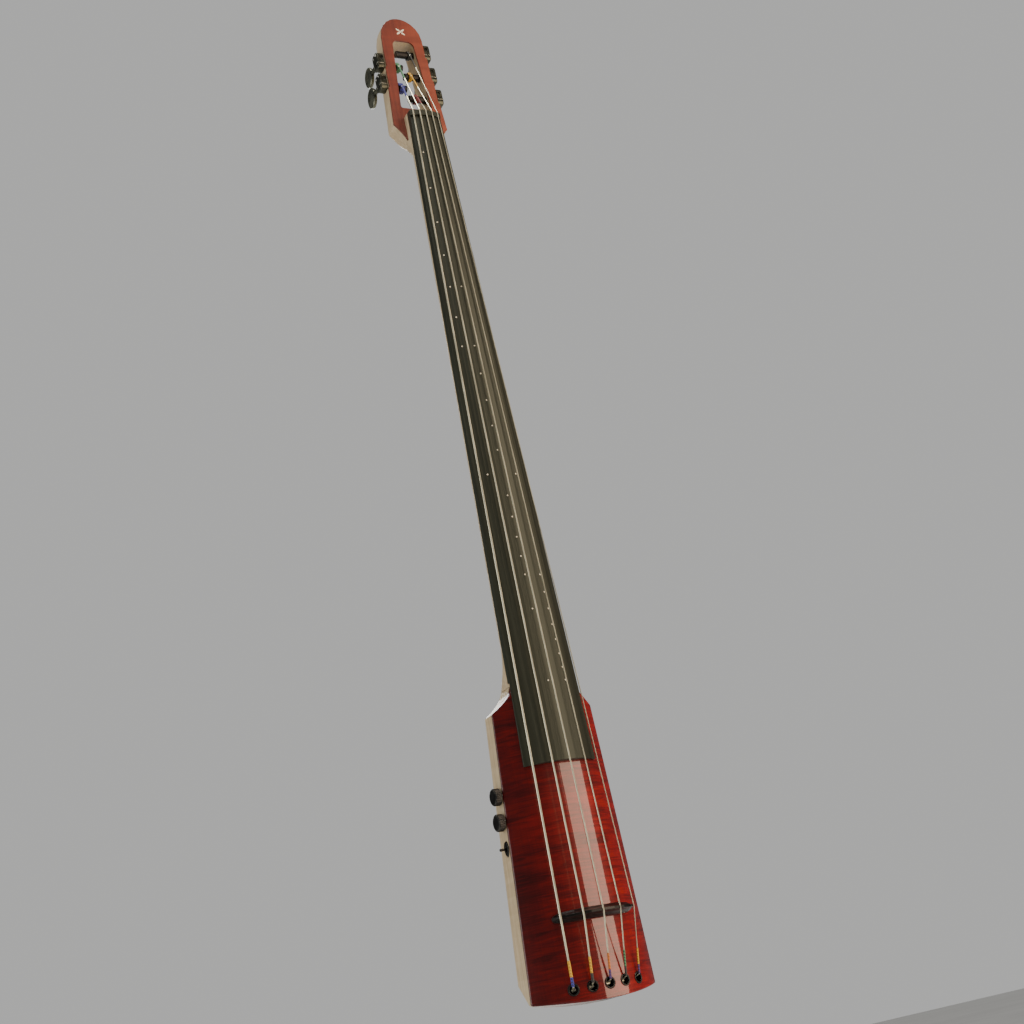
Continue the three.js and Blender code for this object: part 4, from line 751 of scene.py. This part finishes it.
def add_dots():
    """Small inlaid dots at semitone places, in three lines between the strings."""
    profile = [(radius * MM, height * MM) for radius, height in DOT]
    for row, (start, spread, semitones) in enumerate(DOT_ROWS, 1):

        def make(built):
            for semitone in semitones:
                part = 1 - 2 ** (-semitone / 12)
                x = (start + spread * part) * MM
                lean = math.asin(x / BOARD_ARCH)
                place = Vector((x, BOARD_CROWN_Y + arch(x, BOARD_ARCH), NUT_Z - SCALE * part))
                out = Vector((math.sin(lean), -math.cos(lean), 0))
                turned(built, profile, facing(place, out), 20)

        piece(f"position_dots_{row}", make, DOT_WHITE)


ROSETTE_DROP = 22 * MM
ROSETTE_SQUASH = 0.8
PETAL_REACH = 5.2 * MM
PETAL_HALF_LENGTH = 3.4 * MM
PETAL_HALF_WIDTH = 1.5 * MM
PETAL_TAPER = 0.35
PETAL_PROUD = 0.12 * MM
LOZENGE_PROUD = 0.15 * MM
INLAY_DEPTH = 0.4 * MM
# (x, z) corners in mm
LOZENGE = ((1.5, 0), (0, 1.7), (-1.5, 0), (0, -1.7))


def add_ornament():
    """A plain rosette of four petals round a lozenge, inlaid in the head's face."""
    low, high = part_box("headplate")
    centre = Vector((0, low.y, high.z - ROSETTE_DROP))

    def petal(built, turn):
        outline = []
        for i in range(24):
            part = 2 * math.pi * i / 24
            along = PETAL_REACH + PETAL_HALF_LENGTH * math.cos(part)
            aside = PETAL_HALF_WIDTH * math.sin(part) * (1 - PETAL_TAPER * math.cos(part))
            x = along * math.cos(turn) - aside * math.sin(turn)
            z = along * math.sin(turn) + aside * math.cos(turn)
            outline.append(centre + Vector((x, 0, z * ROSETTE_SQUASH)))
        lifted = [point + Vector((0, -PETAL_PROUD, 0)) for point in outline]
        sunk = [point + Vector((0, INLAY_DEPTH, 0)) for point in outline]
        skin(built, [lifted, sunk])

    def make(built):
        for quarter in range(4):
            petal(built, math.pi * (0.25 + 0.5 * quarter))
        lozenge = [centre + Vector((x, 0, z)) * MM for x, z in LOZENGE]
        top = [point + Vector((0, -LOZENGE_PROUD, 0)) for point in lozenge]
        bottom = [point + Vector((0, INLAY_DEPTH, 0)) for point in lozenge]
        skin(built, [top, bottom])

    piece("head_rosette", make, DOT_WHITE)


# ---------------------------------------------------------------- small hardware


def screw_head(radius, height, slot_width):
    """A domed screw head with a raised cross on it, as a bmesh function of its place."""
    dome = [
        (0.02 * radius, height),
        (0.45 * radius, 0.92 * height),
        (0.8 * radius, 0.62 * height),
        (radius, 0.2 * height),
        (radius, -0.4 * height),
        (0.02 * radius, -0.4 * height),
    ]

    def make(built, place):
        turned(built, dome, place, 28)
        for turn in (0, math.pi / 2):
            bar = place @ Matrix.Rotation(turn, 4, "Z") @ Matrix.Translation((0, 0, 0.93 * height))
            size = Matrix.Diagonal((1.3 * radius, slot_width, 0.16 * height, 1))
            bmesh.ops.create_cube(built, size=1.0, matrix=bar @ size)

    return make


def add_cover_screws():
    """Four screw heads over the holes in the back cover, further in on its bass side."""
    low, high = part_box("cavity_cover")
    inset = 3.5 * MM
    bass_inset = 9.5 * MM
    make_head = screw_head(2.3 * MM, 0.9 * MM, 0.5 * MM)
    number = 0
    for x in (low.x + bass_inset, high.x - inset):
        for z in (low.z + inset, high.z - inset):
            number += 1
            place = facing(Vector((x, high.y - 0.5 * MM, z)), Vector((0, 1, 0)))
            piece(
                f"cover_screw_{number}",
                lambda built: make_head(built, place),
                FINISHES["steel"],
            )


def add_tuner_details():
    """Each housing gets a raised strip of lighter metal, a painted highlight along its lower third,
    and two screws in its outer face.
    """
    for string in STRINGS:
        low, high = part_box(f"tuner_housing_{string}")
        centre = (low + high) / 2
        out = 1 if centre.x > 0 else -1
        outer_x = high.x if out > 0 else low.x
        highlight_band_z = lerp(low.z, high.z, 0.3)
        half_depth = (high.y - low.y) / 2

        # painted highlight: a raised strip in lighter metal stands in for the bright line across
        # the housing
        def highlight_band(built):
            thick, tall, corner = 0.45 * MM, 1.3 * MM, 2.2 * MM
            rings = []
            half_width = abs(high.x - low.x) / 2
            outline = rounded_outline(half_width + thick, half_depth + thick, corner)
            for rise, shrink in ((-1, 0.9), (-0.6, 0), (0.6, 0), (1, 0.9)):
                scale = 1 - shrink * thick / half_depth
                z = highlight_band_z + rise * tall / 2
                ring = []
                for x, y in outline:
                    ring.append(Vector((centre.x + x * scale, centre.y + y * scale, z)))
                rings.append(ring)
            skin(built, rings)

        piece(f"tuner_highlight_band_{string}", highlight_band, PEARL_GREY)
        make_head = screw_head(1.7 * MM, 0.8 * MM, 0.4 * MM)
        head_z = lerp(low.z, high.z, 0.84)

        def screws(built):
            for y in (centre.y - 0.5 * half_depth, centre.y + 0.5 * half_depth):
                place = facing(Vector((outer_x, y, head_z)), Vector((out, 0, 0)))
                make_head(built, place)

        piece(f"tuner_screws_{string}", screws, FINISHES["steel"])


def rounded_outline(half_x, half_y, radius, steps=6):
    """The corners of a rounded rectangle, turning from +X to +Y."""
    points = []
    for corner, (sx, sy) in enumerate(((1, 1), (-1, 1), (-1, -1), (1, -1))):
        for i in range(steps + 1):
            turn = math.pi / 2 * (corner + i / steps)
            x = sx * (half_x - radius) + radius * math.cos(turn)
            y = sy * (half_y - radius) + radius * math.sin(turn)
            points.append((x, y))
    return points


KEY_HALF_LENGTH = 12.5 * MM
# (radius, height) in mm, from the end inside the housing to the key
KEY_STEM = (
    (2.9, 0.2),
    (2.9, 17.0),
    (3.9, 17.1),
    (4.0, 18.6),
    (3.2, 19.4),
    (2.5, 21.0),
    (2.3, 27.0),
    (2.9, 31.0),
    (3.3, 34.5),
    (2.2, 37.5),
)


def add_keys():
    """Dished oval keys with a thick rim and a turned stem collar, in place of the flat ones."""
    for string in STRINGS:
        low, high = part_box(f"tuner_key_{string}")
        centre = (low + high) / 2
        half_z = (high.z - low.z) / 2
        key_y = high.y - KEY_HALF_LENGTH
        body = f"key_{string}"

        def paddle(built):
            rings = []
            rim, web = 2.6 * MM, 1.5 * MM
            shape = (
                (0.02, web),
                (0.55, web),
                (0.74, 0.8 * rim),
                (0.86, rim),
                (0.96, 0.75 * rim),
                (1.0, 0.0),
            )
            full = shape + tuple((part, -thick) for part, thick in reversed(shape[:-1]))
            for part, thick in full:
                ring = []
                for i in range(48):
                    turn = 2 * math.pi * i / 48
                    y = key_y + KEY_HALF_LENGTH * part * math.cos(turn)
                    z = centre.z + half_z * part * math.sin(turn)
                    ring.append(Vector((centre.x + thick, y, z)))
                rings.append(ring)
            skin(built, rings)

        def stem(built):
            place = facing(Vector((centre.x, low.y, centre.z)), Vector((0, 1, 0)))
            turned(built, [(radius * MM, height * MM) for radius, height in KEY_STEM], place, 28)

        key = piece(f"oval_key_{string}", paddle, PEARL_GREY, body=body)
        shaft = piece(f"key_stem_{string}", stem, GUNMETAL, body=body)
        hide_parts(f"tuner_key_{string}")
        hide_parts(f"tuner_key_{string}")


def add_knob_washers():
    """A steel washer under each knob."""
    for number in (1, 2):
        low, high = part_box(f"knob_{number}")
        centre = (low + high) / 2
        place = facing(Vector((high.x + 0.75 * MM, centre.y, centre.z)), Vector((-1, 0, 0)))
        ring = [(3.4, 0.0), (6.4, 0.0), (6.6, 0.25), (6.4, 0.5), (3.4, 0.5)]
        profile = [(radius * MM, height * MM) for radius, height in ring]
        piece(
            f"knob_washer_{number}",
            lambda built: turned(built, profile, place, 36),
            FINISHES["steel"],
        )


# (radius, height) in mm and the number of flats, 0 for a round section
JACK_NUT = (
    (3.4, -0.1, 0),
    (3.4, 1.9, 0),
    (4.0, 2.1, 0),
    (5.6, 2.0, 6),
    (6.0, 1.5, 6),
    (6.0, -0.1, 6),
)


def add_jack_nut():
    """A hexagonal nut round the output jack, open in the middle."""
    low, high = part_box("output_jack")
    centre = (low + high) / 2
    place = facing(Vector((high.x, centre.y, centre.z)), Vector((1, 0, 0)))

    def nut(built):
        rings = []
        for radius, height, sides in JACK_NUT:
            ring = []
            for i in range(36):
                turn = 2 * math.pi * i / 36
                reach = radius
                if sides:
                    sector = math.pi / sides
                    reach = radius * math.cos(sector) / math.cos(turn % (2 * sector) - sector)
                point = Vector((reach * math.cos(turn), reach * math.sin(turn), height))
                ring.append(place @ (point * MM))
            rings.append(ring)
        skin(built, rings + [rings[0]], capped=False)

    piece("jack_nut", nut, FINISHES["steel"])


def add_bridge_pin():
    """A pale pin in the bridge's lower face, near its treble end."""
    low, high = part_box("bridge")
    pin_x = 36 * MM
    pin_y = lerp(high.y, cap_face_y(pin_x, BRIDGE_Z), 0.5) - 9 * MM
    place = facing(Vector((pin_x, pin_y, low.z + 1.1 * MM)), Vector((0, 0, -1)))
    profile = [(0.05 * MM, 0.5 * MM), (0.7 * MM, 0.4 * MM), (1.0 * MM, 0.0), (1.0 * MM, -3 * MM)]
    piece("bridge_pin", lambda built: turned(built, profile, place, 20), DOT_WHITE)


# ---------------------------------------------------------------- floor, light and camera


def add_floor():
    look = Finish("pale_floor", 0.85)
    cloud = look.noise((1.5, 1.5, 1.5), detail=3)
    look.finish(look.ramp(cloud, (0.3, (0.62, 0.61, 0.59)), (0.7, (0.68, 0.67, 0.65))))
    mesh = bpy.data.meshes.new("floor")
    reach, level = 14.0, -0.78
    corners = [(-reach, -reach), (reach, -reach), (reach, reach), (-reach, reach)]
    mesh.from_pydata([(x, y, level) for x, y in corners], [], [(0, 1, 2, 3)])
    mesh.materials.append(look.material)
    floor = bpy.data.objects.new("floor", mesh)
    bpy.context.scene.collection.objects.link(floor)


def add_light(name, place, target, size, power, colour):
    light = bpy.data.lights.new(name, "AREA")
    light.shape = "RECTANGLE"
    light.size, light.size_y = size
    light.energy = power
    light.color = colour
    obj = bpy.data.objects.new(name, light)
    bpy.context.scene.collection.objects.link(obj)
    obj.location = place
    aim = Vector(target) - Vector(place)
    obj.rotation_euler = aim.to_track_quat("-Z", "Y").to_euler()
    return obj


def add_lights():
    """A tall warm softbox to the treble side, a high key, a bass-side fill and a rear light."""
    world = bpy.data.worlds.new("studio")
    world.use_nodes = True
    tree = world.node_tree
    seen = tree.nodes["Background"]
    seen.inputs["Color"].default_value = (0.72, 0.72, 0.71, 1)
    seen.inputs["Strength"].default_value = 0.66
    mirrored = tree.nodes.new("ShaderNodeBackground")
    mirrored.inputs["Color"].default_value = (0.5, 0.5, 0.5, 1)
    mirrored.inputs["Strength"].default_value = 0.14
    rays = tree.nodes.new("ShaderNodeLightPath")
    choose = tree.nodes.new("ShaderNodeMixShader")
    tree.links.new(rays.outputs["Is Glossy Ray"], choose.inputs[0])
    tree.links.new(seen.outputs[0], choose.inputs[1])
    tree.links.new(mirrored.outputs[0], choose.inputs[2])
    tree.links.new(choose.outputs[0], tree.nodes["World Output"].inputs["Surface"])
    bpy.context.scene.world = world
    add_light("softbox", (0.98, -1.3, 0.5), (0.0, 0.0, 0.5), (1.05, 2.1), 44, (1.0, 0.74, 0.54))
    add_light("key", (-0.3, -1.1, 3.4), (0, 0, 0.3), (1.0, 1.0), 90, (1.0, 0.95, 0.88))
    add_light("fill", (-1.9, 0.4, 0.35), (0, 0, 0.35), (1.0, 1.6), 20, (1.0, 0.96, 0.9))
    add_light("rear", (0.9, 2.2, 1.1), (0, 0, 0.2), (1.6, 1.4), 30, (1.0, 1.0, 1.0))


CAMERA_AT = Vector((-0.83006, -1.55138, -0.34417))
CAMERA_RIGHT = Vector((0.8867, -0.4165, -0.2007))
CAMERA_AHEAD = Vector((0.46183, 0.81825, 0.34231))
CAMERA_LENS = 52.03


def add_camera():
    """Below the tail and off to the bass side, looking up the strings, a little rolled."""
    ahead = CAMERA_AHEAD.normalized()
    right = (CAMERA_RIGHT - ahead * CAMERA_RIGHT.dot(ahead)).normalized()
    up = right.cross(ahead)
    data = bpy.data.cameras.new("camera")
    data.lens = CAMERA_LENS
    camera = bpy.data.objects.new("camera", data)
    bpy.context.scene.collection.objects.link(camera)
    turn = Matrix((right, up, -ahead)).transposed().to_4x4()
    camera.matrix_world = Matrix.Translation(CAMERA_AT) @ turn
    bpy.context.scene.camera = camera


add_camera()
paint_frame()
add_cap()
add_anchors()
add_tail_silks()
add_head_silks()
add_dots()
add_ornament()
add_cover_screws()
add_tuner_details()
add_keys()
add_knob_washers()
add_jack_nut()
add_bridge_pin()
add_floor()
add_lights()
